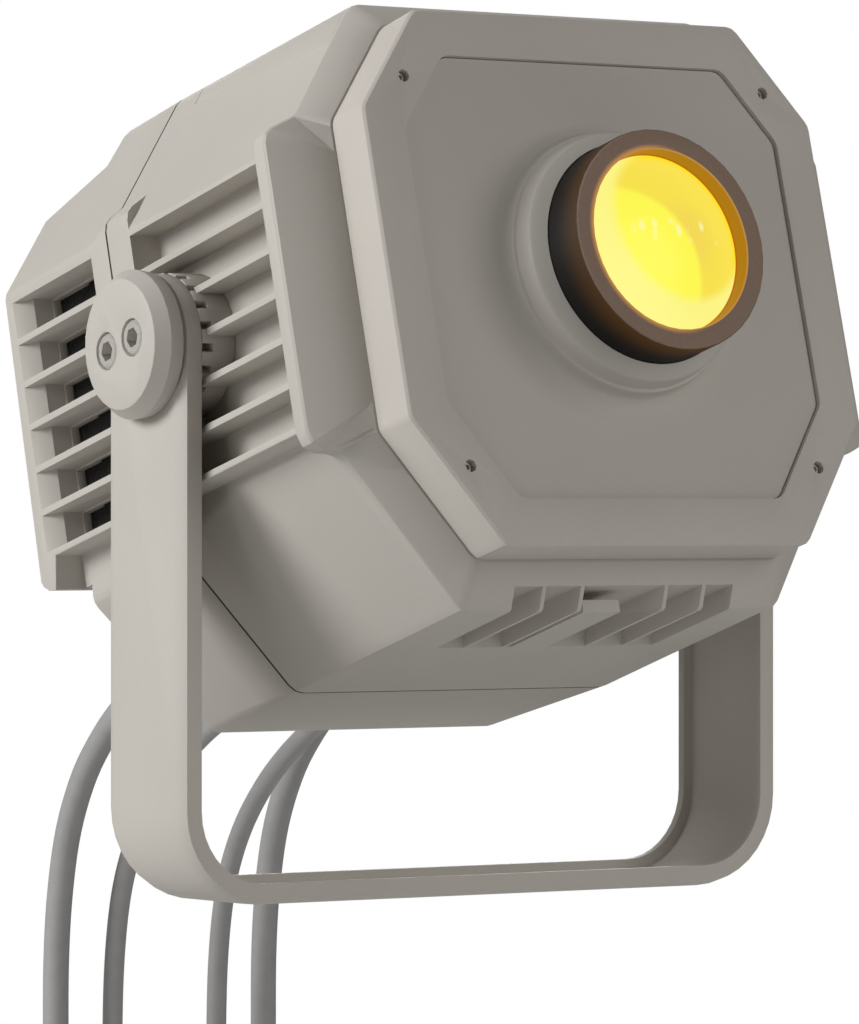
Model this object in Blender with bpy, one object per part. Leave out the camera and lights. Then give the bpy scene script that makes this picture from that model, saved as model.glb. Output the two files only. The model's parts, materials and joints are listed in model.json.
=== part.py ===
"""Outdoor image projector: an octagonal die-cast head with finned sides, tilting in a U-shaped yoke.

Metres, +Z up. The origin is the middle of the yoke's flat underside, and the lens looks towards -Y.
Everything on the head is modelled in the head's own frame, whose origin is the tilt axis, and hangs
from the empty head_axis, which tilts it. In that frame -Y is the way that the lens looks.
"""

import math

import bmesh
import bpy
from mathutils import Matrix, Vector

# Fits
GAP = 0.0003
RUNNING_GAP = 0.0005
POD_CLEARANCE = 0.0025

# Sides of a large round, of a small one and of the smallest
FINE_ROUND = 42
ROUND = 32
SMALL_ROUND = 16
TINY_ROUND = 10

# Stance
TILT = math.radians(15.0)
PIVOT_HEIGHT = 0.2467

# Yoke
YOKE_THICKNESS = 0.0095
YOKE_DEPTH = 0.063
YOKE_CORNER_RADIUS = 0.042
YOKE_CHAMFER_DEPTH = 0.0065
YOKE_CHAMFER_DROP = 0.0019
YOKE_CHANNEL_DEPTH = 0.005
YOKE_RIM = 0.004
YOKE_CHANNEL_TOP = 0.040
YOKE_HOLE_RADIUS = 0.0055
YOKE_HOLES_AT = (0.045, 0.092)
YOKE_BOSS_RADIUS = 0.011
YOKE_BOSS_RISE = 0.001

# Casting outline, right half, seen from the front
POD_HALF_WIDTH = 0.152
ROOF = 0.129
ROOF_HALF = 0.095
KEEL = -0.1465
KEEL_HALF = 0.0855
EAR_ROOT_INSET = 0.019
EAR_ROOT_Z = 0.0764
EAR_TOP = 0.068
EAR_BOTTOM = -0.0735
EAR_FOOT_INSET = 0.0168
EAR_FOOT_Z = -0.0743
CORNER_RADIUS = 0.009
EAR_RADIUS = 0.0085
ROOT_RADIUS = 0.006

KNEE_RADIUS = 0.008
FIN_EDGE = 0.0008

# Casting along its length
SHOULDER = -0.107
SHOULDER_EDGE = -0.0962
SHOULDER_EDGE_CHAMFER = 0.0008
SWELL_START = -0.015
SEAM = 0.037
SEAM_SWELL = 0.0065
SEAM_GAP = 0.0005
REAR_AT_ROOF = 0.083
REAR_LEAN = 0.1331
POD_THICKNESS = 0.038
RECESS_FLARE = 0.24
POD_REAR = 0.133
POD_REAR_LEAN = 0.021
POD_REAR_EDGE = 0.0015
POD_FLOOR = -0.0805
POD_CORNER_RADIUS = 0.012
POD_BLEND = 0.007
REAR_KEEL_END = 0.120
REAR_KEEL_HALF = 0.0793
REAR_KEEL = -0.1489
REAR_FOOT_DROP = 0.0085
NOSE_SINK = 0.006
STEP = 0.0001
WALL = 0.004
ROOF_WALL = 0.006
KEEL_WALL = 0.012

# Side fins
FIN_COUNT = 7
FIN_TOP = 0.0575
FIN_PITCH = 0.02025
FIN_THICKNESS = 0.003
FIN_DEPTH = 0.015
POCKET_FRONT = -0.088
POCKET_REAR = 0.018
REAR_FIN_DEPTH = 0.017
REAR_POCKET_FRONT = 0.052
REAR_POCKET_REAR = 0.123
REAR_POCKET_EASE = 0.007
WINDOW_LIP = 0.0008

# Vent grooves under the nose, parted by ribs, with a bar in the middle one
VENT_HALF = 0.0595
VENT_RIBS_AT = (0.0229, 0.0435)
VENT_RIB = 0.002
VENT_REAR = -0.035
VENT_RAMP = 0.006
VENT_DEPTH = 0.0098
VENT_BAR = (-0.0185, 0.0015)
VENT_BAR_SINK = 0.003
VENT_BAR_DEPTH = 0.0055

# Bezel and front panel
BEZEL_FRONT = -0.1314
BEZEL_MIDDLE = -0.0055
BEZEL_HALF_WIDTH = 0.1223
BEZEL_HALF_HEIGHT = 0.1208
BEZEL_TOP_CUT = (0.0344, 0.0455)
BEZEL_BOTTOM_CUT = (0.0405, 0.0570)
BEZEL_EDGE = 0.0012
BEZEL_RADIUS = 0.007
PANEL_HALF_WIDTH = 0.1016
PANEL_HALF_HEIGHT = 0.0998
PANEL_TOP_CUT = (0.0252, 0.0335)
PANEL_BOTTOM_CUT = (0.0307, 0.0436)
PANEL_SINK = 0.0022
PANEL_THICKNESS = 0.004
PANEL_LEDGE = 0.007
BEZEL_SCREW_TOP = (0.0982, 0.0840)
BEZEL_SCREW_BOTTOM = (0.0945, -0.0909)
BEZEL_SCREW_RADIUS = 0.0026
BEZEL_SCREW_DEPTH = 0.006
GASKET_WIDTH = 0.0018
GASKET_DEPTH = 0.0016

# Collar, lens barrel and front lens
COLLAR_FOOT_WALL = 0.0165
COLLAR_FOOT_RISE = 0.0025
COLLAR_WALL = 0.0085
COLLAR_WALL_RISE = 0.0082
COLLAR_RIM_WALL = 0.0063
COLLAR_RIM_RISE = 0.0183
COLLAR_TOP_WALL = 0.0034
COLLAR_RISE = 0.0224
BARREL_RADIUS = 0.050
BARREL_FRONT = -0.173
BARREL_WALL = 0.0045
BARREL_FLANGE_WIDTH = 0.010
BARREL_FLANGE = 0.004
LENS_LIP = 0.0043
APERTURE_DEPTH = 0.008
LENS_EDGE = 0.006
LENS_CROWN = 0.0085
LENS_BACK_CROWN = 0.004
LENS_RING = 0.004

# Service cover
COVER_HALF = 0.1078
COVER_FRONT = -0.0935
COVER_REAR = 0.0170
COVER_THICKNESS = 0.0025
COVER_LEDGE = 0.006

# Tilt clutch
HUB_RADIUS = 0.032
HUB_TEETH = 20
HUB_TOOTH_HEIGHT = 0.0055
HUB_SPACE_SHARE = 0.37
HUB_TOOTH_FOOT = 0.0245
SPIGOT_RADIUS = 0.020
DISC_RADIUS = 0.0331
DISC_BACK_RADIUS = 0.0322
DISC_FACE_RADIUS = 0.0280
DISC_FILLET = 0.0013
DISC_THICKNESS = 0.0132
DISC_STEP = 0.0068
CLAMP_SCREW_SPACING = 0.0216
CLAMP_SCREW_HEAD_RADIUS = 0.008
CLAMP_SCREW_HEAD = 0.010
CLAMP_SCREW_RADIUS = 0.005
CLAMP_SCREW_LENGTH = 0.022
CLAMP_SCREW_SOCKET = 0.004
COUNTERBORE_RADIUS = 0.0086
COUNTERBORE_DEPTH = 0.0105

# Optics inside the head
CHASSIS_HALF = 0.085
CHASSIS_TOP = 0.100
CHASSIS_FLOOR = -0.109
SHEET = 0.003
MID_WALL = -0.011
ROD_RADIUS = 0.004
ROD_X = 0.052
ROD_Z = 0.040
CARRIAGE_AT = -0.058
CARRIAGE_THICKNESS = 0.008
CARRIAGE_RING_RADIUS = 0.036
FOCUS_LENS_RADIUS = 0.030
FOCUS_LENS_CROWN = 0.006
BUSH_RADIUS = 0.0075
BUSH_LENGTH = 0.016
CARRIAGE_ARM_HALF = 0.006
CARRIAGE_BAR_LOW = 0.012
CARRIAGE_BAR_RISE = 0.003
FOCUS_LENS_LEDGE = 0.002
FOCUS_LENS_EDGE = 0.0035
FOCUS_LENS_SEAT = 0.003
ACTUATOR_SIZE = 0.028
ACTUATOR_LENGTH = 0.022
ACTUATOR_SHAFT_RADIUS = 0.0025
WHEEL_RADIUS = 0.056
WHEEL_Z = -0.044
WHEEL_THICKNESS = 0.002
WHEEL_AT = -0.025
WHEEL_HUB_RADIUS = 0.008
WHEEL_HUB_HALF = 0.004
GOBO_CIRCLE = 0.044
GOBO_RADIUS = 0.0105
GOBO_COUNT = 4
GOBO_MOTOR_SIZE = 0.028
GOBO_MOTOR_LENGTH = 0.020
SHAFT_RADIUS = 0.0025
CONDENSER_RADIUS = 0.026
CONDENSER_LENS_RADIUS = 0.022
CONDENSER_CROWN = 0.008
SINK_BASE_AT = 0.031
SINK_BASE = 0.005
SINK_HALF_WIDTH = 0.060
SINK_HALF_HEIGHT = 0.055
SINK_FIN_LENGTH = 0.040
SINK_FIN_COUNT = 11
SINK_FIN = 0.0018
SINK_POSTS = ((0.045, 0.035), (0.045, -0.048))
POST_RADIUS = 0.004
LED_BOARD_HALF = 0.022
LED_BOARD = 0.002
LED_RADIUS = 0.011
FAN_HALF = 0.040
FAN_THICKNESS = 0.015
FAN_Z = -0.015
FAN_BLADES = 9
FAN_RADIUS = 0.036
FAN_HUB_RADIUS = 0.016
FAN_TIP_CLEARANCE = 0.0015
FAN_GUARD = 0.003
FAN_STRUT_HALF = 0.0015
FAN_PIN_RADIUS = 0.002
FAN_PIN_START = 0.005
FAN_PIN_SINK = 0.0005
FAN_ROTOR_START = 0.0012
FAN_ROTOR_END = 0.0045
FAN_BORE_START = 0.004
BLADE_RAKE = 0.006
BLADE_HALF = 0.0006
BLADE_MARGIN = 0.001
BLADE_ROOT = 0.003
BOARD_HALF = 0.060
BOARD = 0.0016
# Parts on the driver board: x, y, width, depth, height
BOARD_PARTS = ((-0.040, -0.080, 0.016, 0.016, 0.010), (-0.010, -0.075, 0.020, 0.014, 0.004),
               (0.030, -0.080, 0.022, 0.012, 0.012), (-0.035, -0.040, 0.024, 0.020, 0.006),
               (0.015, -0.035, 0.014, 0.014, 0.012))
SUPPLY_HALF = 0.055
SUPPLY_HEIGHT = 0.020
SUPPLY_FRONT = -0.095
SUPPLY_REAR = -0.020
MESH_THICKNESS = 0.002
MESH_MARGIN = 0.002
MESH_FRONT_MARGIN = 0.004
MESH_REAR_MARGIN = 0.001

# Cable entries and cables
MAINS_GLAND = (0.060, -0.108)
DATA_GLAND = (0.030, -0.130)
MAINS_CABLE = 0.0125
DATA_CABLE = 0.0098
MAINS_GLAND_LENGTH = 0.024
DATA_GLAND_LENGTH = 0.020
MAINS_THREAD = 0.010
DATA_THREAD = 0.008
VENT_PLUG_Z = -0.085
VENT_PLUG_RADIUS = 0.008
VENT_PLUG_RISE = 0.005
VENT_PLUG_EDGE = 0.001
MAINS_CONNECTOR = (0.0155, 0.072)
DATA_CONNECTOR = (0.0105, 0.052)
# Routes in the world's Y and Z, chosen by hand: the first point is the gland's mouth
MAINS_ROUTE = ((0.1300, 0.1052), (0.1500, 0.0994), (0.1700, 0.0892), (0.1870, 0.0782), (0.2020, 0.0662),
               (0.2200, 0.0467), (0.2345, 0.0200), (0.2425, -0.0110), (0.2460, -0.0440), (0.2465, -0.0840),
               (0.2465, -0.1240), (0.2465, -0.1550))
DATA_ROUTE = ((0.1280, 0.0826), (0.1460, 0.0750), (0.1635, 0.0661), (0.1825, 0.0541), (0.2000, 0.0402),
              (0.2170, 0.0220), (0.2295, 0.0015), (0.2370, -0.0205), (0.2415, -0.0500), (0.2430, -0.0850),
              (0.2430, -0.1150), (0.2430, -0.1400))

# Finishes: colour, roughness, metallic
FINISHES = {
    "powder_coat": ((0.50, 0.48, 0.45), 0.55, 0.0),
    "black_anodised": ((0.03, 0.03, 0.03), 0.45, 0.4),
    "stainless": ((0.62, 0.62, 0.60), 0.28, 1.0),
    "aluminium": ((0.60, 0.60, 0.60), 0.38, 1.0),
    "rubber": ((0.03, 0.03, 0.03), 0.75, 0.0),
    "black_plastic": ((0.025, 0.025, 0.025), 0.5, 0.0),
    "grey_cable": ((0.36, 0.37, 0.38), 0.5, 0.0),
    "clear_glass": ((0.85, 0.92, 0.90), 0.03, 0.0),
    "amber_glass": ((1.0, 0.80, 0.12), 0.05, 0.0),
    "circuit_board": ((0.02, 0.12, 0.05), 0.45, 0.0),
    "led_face": ((0.95, 0.85, 0.25), 0.4, 0.0),
}

POCKET_FLOOR = POD_HALF_WIDTH - FIN_DEPTH
REAR_POCKET_FLOOR = POD_HALF_WIDTH - REAR_FIN_DEPTH
EAR_ROOT_X = POD_HALF_WIDTH - EAR_ROOT_INSET
EAR_FOOT_X = POD_HALF_WIDTH - EAR_FOOT_INSET
RECESS_HALF = POD_HALF_WIDTH - POD_THICKNESS
LENS_RADIUS = BARREL_RADIUS - BARREL_WALL - GAP
APERTURE_RADIUS = LENS_RADIUS - LENS_LIP
BARREL_FLANGE_RADIUS = BARREL_RADIUS + BARREL_FLANGE_WIDTH
COLLAR_TOP_RADIUS = BARREL_RADIUS + COLLAR_TOP_WALL
COLLAR_RIM_RADIUS = BARREL_RADIUS + COLLAR_RIM_WALL
COLLAR_RADIUS = BARREL_RADIUS + COLLAR_WALL
COLLAR_FOOT_RADIUS = BARREL_RADIUS + COLLAR_FOOT_WALL
INNER_ARM = POD_HALF_WIDTH + POD_CLEARANCE
YOKE_HALF_WIDTH = INNER_ARM + YOKE_THICKNESS
PANEL_FACE = BEZEL_FRONT + PANEL_SINK
CHASSIS_FRONT = SHOULDER + WALL + GAP


def clear_scene():
    for old in list(bpy.data.objects):
        bpy.data.objects.remove(old, do_unlink=True)


def finish_material(name):
    material = bpy.data.materials.get(name)
    if material:
        return material
    colour, roughness, metallic = FINISHES[name]
    material = bpy.data.materials.new(name)
    material.use_nodes = True
    shader = material.node_tree.nodes["Principled BSDF"]
    shader.inputs["Base Color"].default_value = (*colour, 1.0)
    shader.inputs["Roughness"].default_value = roughness
    shader.inputs["Metallic"].default_value = metallic
    return material


def empty(name, location, tilt=0.0):
    marker = bpy.data.objects.new(name, None)
    marker.location = location
    marker.rotation_euler = (tilt, 0.0, 0.0)
    bpy.context.collection.objects.link(marker)
    return marker


def new_object(name, mesh):
    made = bpy.data.objects.new(name, mesh)
    bpy.context.collection.objects.link(made)
    return made


def mesh_object(name, points, faces):
    """A closed mesh from points and faces, with its faces turned outward."""
    mesh = bpy.data.meshes.new(name)
    body = bmesh.new()
    verts = [body.verts.new(p) for p in points]
    for face in faces:
        body.faces.new([verts[i] for i in face])
    for vert in verts:
        if not vert.link_faces:
            body.verts.remove(vert)
    bmesh.ops.recalc_face_normals(body, faces=body.faces)
    body.to_mesh(mesh)
    body.free()
    return new_object(name, mesh)


def loft(name, rings, closed=False):
    """Skin over rings of equal length, with end caps, or joined end to end."""
    count = len(rings[0])
    points = [p for ring in rings for p in ring]
    faces = []
    spans = len(rings) if closed else len(rings) - 1
    for i in range(spans):
        low = i * count
        high = (i + 1) % len(rings) * count
        for k in range(count):
            nxt = (k + 1) % count
            faces.append((low + k, low + nxt, high + nxt, high + k))
    if not closed:
        faces.append(tuple(range(count - 1, -1, -1)))
        faces.append(tuple(range(len(points) - count, len(points))))
    return mesh_object(name, points, faces)


def prism(name, outline, near, far):
    """An (x, z) outline drawn out along Y."""
    return loft(name, [[(x, y, z) for x, z in outline] for y in (near, far)])


def box(name, low, high):
    outline = [(low[0], low[2]), (high[0], low[2]), (high[0], high[2]), (low[0], high[2])]
    return prism(name, outline, low[1], high[1])


def lathe(name, profile, axis="Y", segments=SMALL_ROUND):
    """A turned solid. The profile is a closed loop of (radius, place along the axis)."""
    points = []
    rings = []
    for radius, along in profile:
        if radius < 1e-9:
            rings.append([len(points)] * segments)
            points.append((0.0, along, 0.0))
            continue
        rings.append(list(range(len(points), len(points) + segments)))
        for k in range(segments):
            turn = 2 * math.pi * k / segments
            points.append((radius * math.cos(turn), along, radius * math.sin(turn)))
    faces = []
    for i, low in enumerate(rings):
        after = (i + 1) % len(rings)
        high = rings[after]
        on_axis = [span[0] == span[1] for span in (low, high)]
        if all(on_axis):
            continue
        if any(on_axis) and profile[i][1] == profile[after][1]:
            faces.append(tuple(high if on_axis[0] else low))
            continue
        for k in range(segments):
            nxt = (k + 1) % segments
            corners = (low[k], low[nxt], high[nxt], high[k])
            faces.append(tuple(dict.fromkeys(corners)))
    made = mesh_object(name, points, faces)
    if axis == "X":
        made.data.transform(Matrix.Rotation(-math.pi / 2, 4, "Z"))
    if axis == "Z":
        made.data.transform(Matrix.Rotation(math.pi / 2, 4, "X"))
    return made


def cylinder(name, radius, near, far, axis="Y", segments=TINY_ROUND):
    return lathe(name, [(0.0, near), (radius, near), (radius, far), (0.0, far)], axis, segments)


def ring(name, inner, outer, near, far, axis="Y", segments=SMALL_ROUND):
    profile = [(inner, near), (outer, near), (outer, far), (inner, far)]
    return lathe(name, profile, axis, segments)


def hexagon(name, across_flats, near, far, axis="Y"):
    return cylinder(name, across_flats / math.sqrt(3), near, far, axis, 6)


def shift(made, x=0.0, y=0.0, z=0.0):
    made.data.transform(Matrix.Translation((x, y, z)))
    return made


def rounded(corners, steps=2):
    """The points of an outline given as (x, z, radius) corners."""
    points = []
    count = len(corners)
    for i, (x, z, radius) in enumerate(corners):
        here = Vector((x, z))
        back = (Vector(corners[i - 1][:2]) - here).normalized()
        ahead = (Vector(corners[(i + 1) % count][:2]) - here).normalized()
        half = back.angle(ahead) / 2
        if half > math.radians(89.5):
            spread = (ahead - back) * (radius / 2 / steps)
            points += [tuple(here + spread * (k - steps / 2)) for k in range(steps + 1)]
            continue
        centre = here + (back + ahead).normalized() * (radius / math.sin(half))
        first = here + back * (radius / math.tan(half)) - centre
        last = here + ahead * (radius / math.tan(half)) - centre
        sweep = math.atan2(first.x * last.y - first.y * last.x, first.dot(last))
        for k in range(steps + 1):
            turned = Matrix.Rotation(sweep * k / steps, 2) @ first
            points.append(tuple(centre + turned))
    return points


def inset(corners, distance):
    """The same outline drawn in by a distance, with its corner radii to match."""
    count = len(corners)
    area = 0.0
    for i in range(count):
        ahead = corners[(i + 1) % count]
        area += corners[i][0] * ahead[1] - ahead[0] * corners[i][1]
    side = 1.0 if area > 0 else -1.0
    moved = []
    for i, (x, z, radius) in enumerate(corners):
        here = Vector((x, z))
        came = (here - Vector(corners[i - 1][:2])).normalized()
        goes = (Vector(corners[(i + 1) % count][:2]) - here).normalized()
        turn = came.x * goes.y - came.y * goes.x
        in_came = Vector((-came.y, came.x)) * side
        in_goes = Vector((-goes.y, goes.x)) * side
        step = (in_came + in_goes) * (distance / (1.0 + in_came.dot(in_goes)))
        new_radius = radius - distance if turn * side > 0 else radius + distance
        moved.append((x + step.x, z + step.y, max(new_radius, 0.0006)))
    return moved


def mirrored(half):
    """A whole outline from its right half, listed from the top down."""
    return list(half) + [(-x, z, r) for x, z, r in reversed(half)]


def octagon(half_width, half_height, top_cut, bottom_cut, radius):
    top = BEZEL_MIDDLE + half_height
    bottom = BEZEL_MIDDLE - half_height
    return mirrored([
        (half_width - top_cut[0], top, radius),
        (half_width, top - top_cut[1], radius),
        (half_width, bottom + bottom_cut[1], radius),
        (half_width - bottom_cut[0], bottom, radius),
    ])


def at_depth(points, y):
    return [(x, y, z) for x, z in points]


def apply_modifiers(made):
    depsgraph = bpy.context.evaluated_depsgraph_get()
    mesh = bpy.data.meshes.new_from_object(made.evaluated_get(depsgraph))
    made.modifiers.clear()
    made.data = mesh


def combine(made, other, operation):
    modifier = made.modifiers.new(operation.lower(), "BOOLEAN")
    modifier.operation = operation
    modifier.object = other
    modifier.solver = "EXACT"
    apply_modifiers(made)
    bpy.data.objects.remove(other, do_unlink=True)
    return made


def cut(made, *cutters):
    for cutter in cutters:
        combine(made, cutter, "DIFFERENCE")
    return made


def fuse(made, *others):
    for other in others:
        combine(made, other, "UNION")
    return made


def dress(made, finish, parent=None, location=(0.0, 0.0, 0.0), lean=0.0, crease=40.0):
    """Place an object, give it its finish and smooth its round faces."""
    made.data.materials.clear()
    made.data.materials.append(finish_material(finish))
    if made.type == "MESH":
        made.data.shade_smooth()
        made.data.set_sharp_from_angle(angle=math.radians(crease))
    made.parent = parent
    made.location = location
    made.rotation_euler = (lean, 0.0, 0.0)
    return made


# The casting's outline


def share(y, start, end):
    """How far y has come from start to end, from 0 to 1."""
    return min(1.0, max(0.0, (y - start) / (end - start)))


def outline_points(y):
    """Roof, ear root, foot and keel corners of the casting at y."""
    upper = SEAM_SWELL * share(y, SHOULDER_EDGE, SEAM)
    late = share(y, SWELL_START, SEAM)
    lower = SEAM_SWELL * late * late * (3 - 2 * late)
    rear = share(y, SEAM, REAR_KEEL_END)
    roof = Vector((ROOF_HALF + upper, ROOF))
    root = Vector((EAR_ROOT_X + 1.3 * upper, EAR_ROOT_Z - 0.2 * upper))
    foot = Vector((EAR_FOOT_X + 1.05 * lower, EAR_FOOT_Z - 0.4 * lower - REAR_FOOT_DROP * rear))
    keel = Vector((KEEL_HALF + 0.2 * upper, KEEL - 0.57 * upper))
    return roof, root, foot, keel.lerp(Vector((REAR_KEEL_HALF, REAR_KEEL)), rear)


def fin_roof():
    return FIN_TOP + FIN_THICKNESS / 2


def fin_floor():
    return FIN_TOP - FIN_PITCH * (FIN_COUNT - 1) - FIN_THICKNESS / 2


def band_corners(y):
    """Outline where a solid band with ears runs round the casting."""
    roof, root, foot, keel = outline_points(y)
    knee = foot.lerp(keel, 0.12)
    return mirrored([
        (*roof, CORNER_RADIUS),
        (*root, ROOT_RADIUS),
        (POD_HALF_WIDTH, EAR_TOP, EAR_RADIUS),
        (POD_HALF_WIDTH, EAR_BOTTOM, EAR_RADIUS),
        (*foot, ROOT_RADIUS),
        (*knee, KNEE_RADIUS / 4),
        (*keel, CORNER_RADIUS),
    ])


def open_corners(y):
    """Outline between the bands: the slopes run straight to the top fin and to the wall below the last."""
    roof, root, foot, keel = outline_points(y)
    down = (root - roof).normalized()
    lip = roof + down * ((roof.y - fin_roof()) / -down.y)
    edge = POD_HALF_WIDTH - FIN_EDGE
    if lip.x > edge:
        lip = roof + down * ((edge - roof.x) / down.x)
    rise = (foot - keel).normalized()
    wall = POCKET_FLOOR + WALL / 4
    knee = foot + rise * ((wall - foot.x) / rise.x)
    return mirrored([
        (*roof, CORNER_RADIUS),
        (*lip, FIN_EDGE),
        (POD_HALF_WIDTH, min(fin_roof(), lip.y - FIN_EDGE), FIN_EDGE / 2),
        (POD_HALF_WIDTH, fin_floor(), FIN_EDGE),
        (wall, fin_floor(), FIN_EDGE),
        (*knee, KNEE_RADIUS),
        (*keel, CORNER_RADIUS),
    ])


def pod_corners(y):
    """Outline of the rear end: open above, and a full pod down past its floor, which is cut level later."""
    corners = open_corners(y)
    roof, root, foot, keel = outline_points(y)
    below = POD_FLOOR - 2 * EAR_RADIUS
    rise = (foot - keel).normalized()
    heel = foot + rise * ((below - foot.y) / rise.y)
    lower = [
        (POD_HALF_WIDTH, below + EAR_RADIUS / 2, FIN_EDGE),
        (heel.x + EAR_RADIUS / 2, below, FIN_EDGE),
        (*foot.lerp(keel, 0.4), KNEE_RADIUS / 4),
        (*keel, CORNER_RADIUS),
    ]
    return mirrored(corners[:3] + lower)


def nose_corners():
    """Outline of the front end, just outside the bezel."""
    margin = WALL / 4
    top, side, low_side, bottom = [Vector(c[:2]) for c in inset(bezel_corners(), -margin)[:4]]
    reach = (top - side).length * 0.12
    return mirrored([
        (*top, BEZEL_RADIUS),
        (*side, BEZEL_RADIUS),
        (side.x, side.y - 2 * reach, FIN_EDGE),
        (low_side.x, low_side.y + 2 * reach, FIN_EDGE),
        (*low_side, BEZEL_RADIUS),
        (*low_side.lerp(bottom, 0.3), KNEE_RADIUS / 4),
        (*bottom, BEZEL_RADIUS),
    ])


def cavity_corners(wall, keel_wall):
    """Outline of the hollow, which passes inside the pockets' floors."""
    half = POCKET_FLOOR - wall
    slope = (ROOF - EAR_ROOT_Z) / (EAR_ROOT_X - ROOF_HALF)
    lower_slope = (EAR_FOOT_Z - KEEL) / (EAR_FOOT_X - KEEL_HALF)
    roof_half = ROOF_HALF - 0.6 * ROOF_WALL
    keel_half = KEEL_HALF - 0.6 * keel_wall
    return mirrored([
        (roof_half, ROOF - ROOF_WALL, CORNER_RADIUS),
        (half, ROOF - ROOF_WALL - slope * (half - roof_half), ROOT_RADIUS),
        (half, KEEL + keel_wall + lower_slope * (half - keel_half), ROOT_RADIUS),
        (keel_half, KEEL + keel_wall, CORNER_RADIUS),
    ])


def fin_heights():
    return [FIN_TOP - FIN_PITCH * k for k in range(FIN_COUNT)]


def pocket_cutters(floor, front, rear, ease=0.0):
    """The spaces between the fins, on both sides; the rear end may slant outward over the last of its depth."""
    cutters = []
    heights = fin_heights()
    wide = 2 * POD_HALF_WIDTH
    plan = [(floor, front), (wide, front), (wide, rear + wide - POD_HALF_WIDTH)]
    plan += [(POD_HALF_WIDTH - ease, rear - ease), (floor, rear - ease)]
    for high, low in zip(heights, heights[1:]):
        levels = (low + FIN_THICKNESS / 2, high - FIN_THICKNESS / 2)
        for side in (-1, 1):
            cutters.append(loft("pocket", [[(side * x, y, z) for x, y in plan] for z in levels]))
    return cutters


def rear_face(z):
    """Where the leaning rear face lies at height z."""
    return REAR_AT_ROOF + REAR_LEAN * (ROOF - z)


def front_rings(depth, last):
    """Rings of the front casting drawn in by depth: slanting shoulder, band, finned middle and rear band."""
    edge = SHOULDER_EDGE_CHAMFER
    bands = POCKET_FRONT - 2 * STEP
    rings = [
        (SHOULDER, nose_corners(), 0.0),
        (SHOULDER_EDGE - edge / 2, band_corners(SHOULDER_EDGE), edge),
        (SHOULDER_EDGE + edge, band_corners(SHOULDER_EDGE), 0.0),
        (bands, band_corners(bands), 0.0),
    ]
    middle = (bands + STEP, SWELL_START, SWELL_START * 0.3 + POCKET_REAR * 0.7, POCKET_REAR + STEP)
    rings += [(y, open_corners(y), 0.0) for y in middle]
    rings += [(y, band_corners(y), 0.0) for y in (POCKET_REAR + 2 * STEP, last)]
    return [at_depth(rounded(inset(corners, sink + depth)), y) for y, corners, sink in rings]


def leaning(points, y):
    """A ring behind the pods, which leans with their rear edge."""
    return [(x, y - POD_REAR_LEAN * (z - EAR_BOTTOM), z) for x, z in points]


def rear_rings(first):
    front = REAR_POCKET_FRONT - 2 * STEP
    last = REAR_POCKET_REAR + STEP
    rings = [at_depth(rounded(band_corners(first)), first)]
    for y in (front, (front + last) / 2, last - POD_BLEND):
        rings.append(at_depth(rounded(open_corners(y)), y))
    end = pod_corners(last)
    rings.append(at_depth(rounded(end), last))
    rings.append(leaning(rounded(end), POD_REAR - POD_REAR_EDGE))
    rings.append(leaning(rounded(inset(end, POD_REAR_EDGE)), POD_REAR))
    return rings


def hub_pockets():
    """Round seats for the tilt hubs, through the fins down to the pocket floors."""
    cutters = []
    for side in (-1, 1):
        inner = side * POCKET_FLOOR
        outer = side * 2 * POD_HALF_WIDTH
        cutters.append(cylinder("hub_seat", HUB_RADIUS + RUNNING_GAP, inner, outer, "X", ROUND))
    return cutters


def vent_cutter():
    """Blind grooves under the nose, open to the front and below, with a ramp at their rear."""
    low = 2 * KEEL
    top = KEEL + VENT_DEPTH
    outline = [(2 * SHOULDER, low), (VENT_REAR, low), (VENT_REAR, KEEL - SEAM_SWELL),
               (VENT_REAR - VENT_RAMP, top), (2 * SHOULDER, top)]
    grooves = loft("vents", [[(x, y, z) for y, z in outline] for x in (-VENT_HALF, VENT_HALF)])
    for place in VENT_RIBS_AT:
        for x in (-place, place):
            cut(grooves, box("rib", (x - VENT_RIB / 2, 4 * SHOULDER, 2 * low), (x + VENT_RIB / 2, 0.0, 0.0)))
    bar_low = (VENT_BAR[0], SHOULDER_EDGE + VENT_BAR_SINK, 2 * low)
    bar_high = (VENT_BAR[1], 0.0, KEEL + VENT_BAR_DEPTH)
    return cut(grooves, box("bar", bar_low, bar_high))


def cover_prism(name, clearance, depth):
    """The service cover's footprint from above, reaching below the roof."""
    half = COVER_HALF - clearance
    low = (-half, COVER_FRONT + clearance, ROOF / 2)
    high = (half, COVER_REAR - clearance, ROOF * 2)
    made = box(name, low, high)
    core = loft("core", front_rings(depth, SEAM))
    return cut(made, core)


def bezel_screw_places():
    places = []
    for x, z in (BEZEL_SCREW_TOP, BEZEL_SCREW_BOTTOM):
        places += [(-x, z), (x, z)]
    return places


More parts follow.
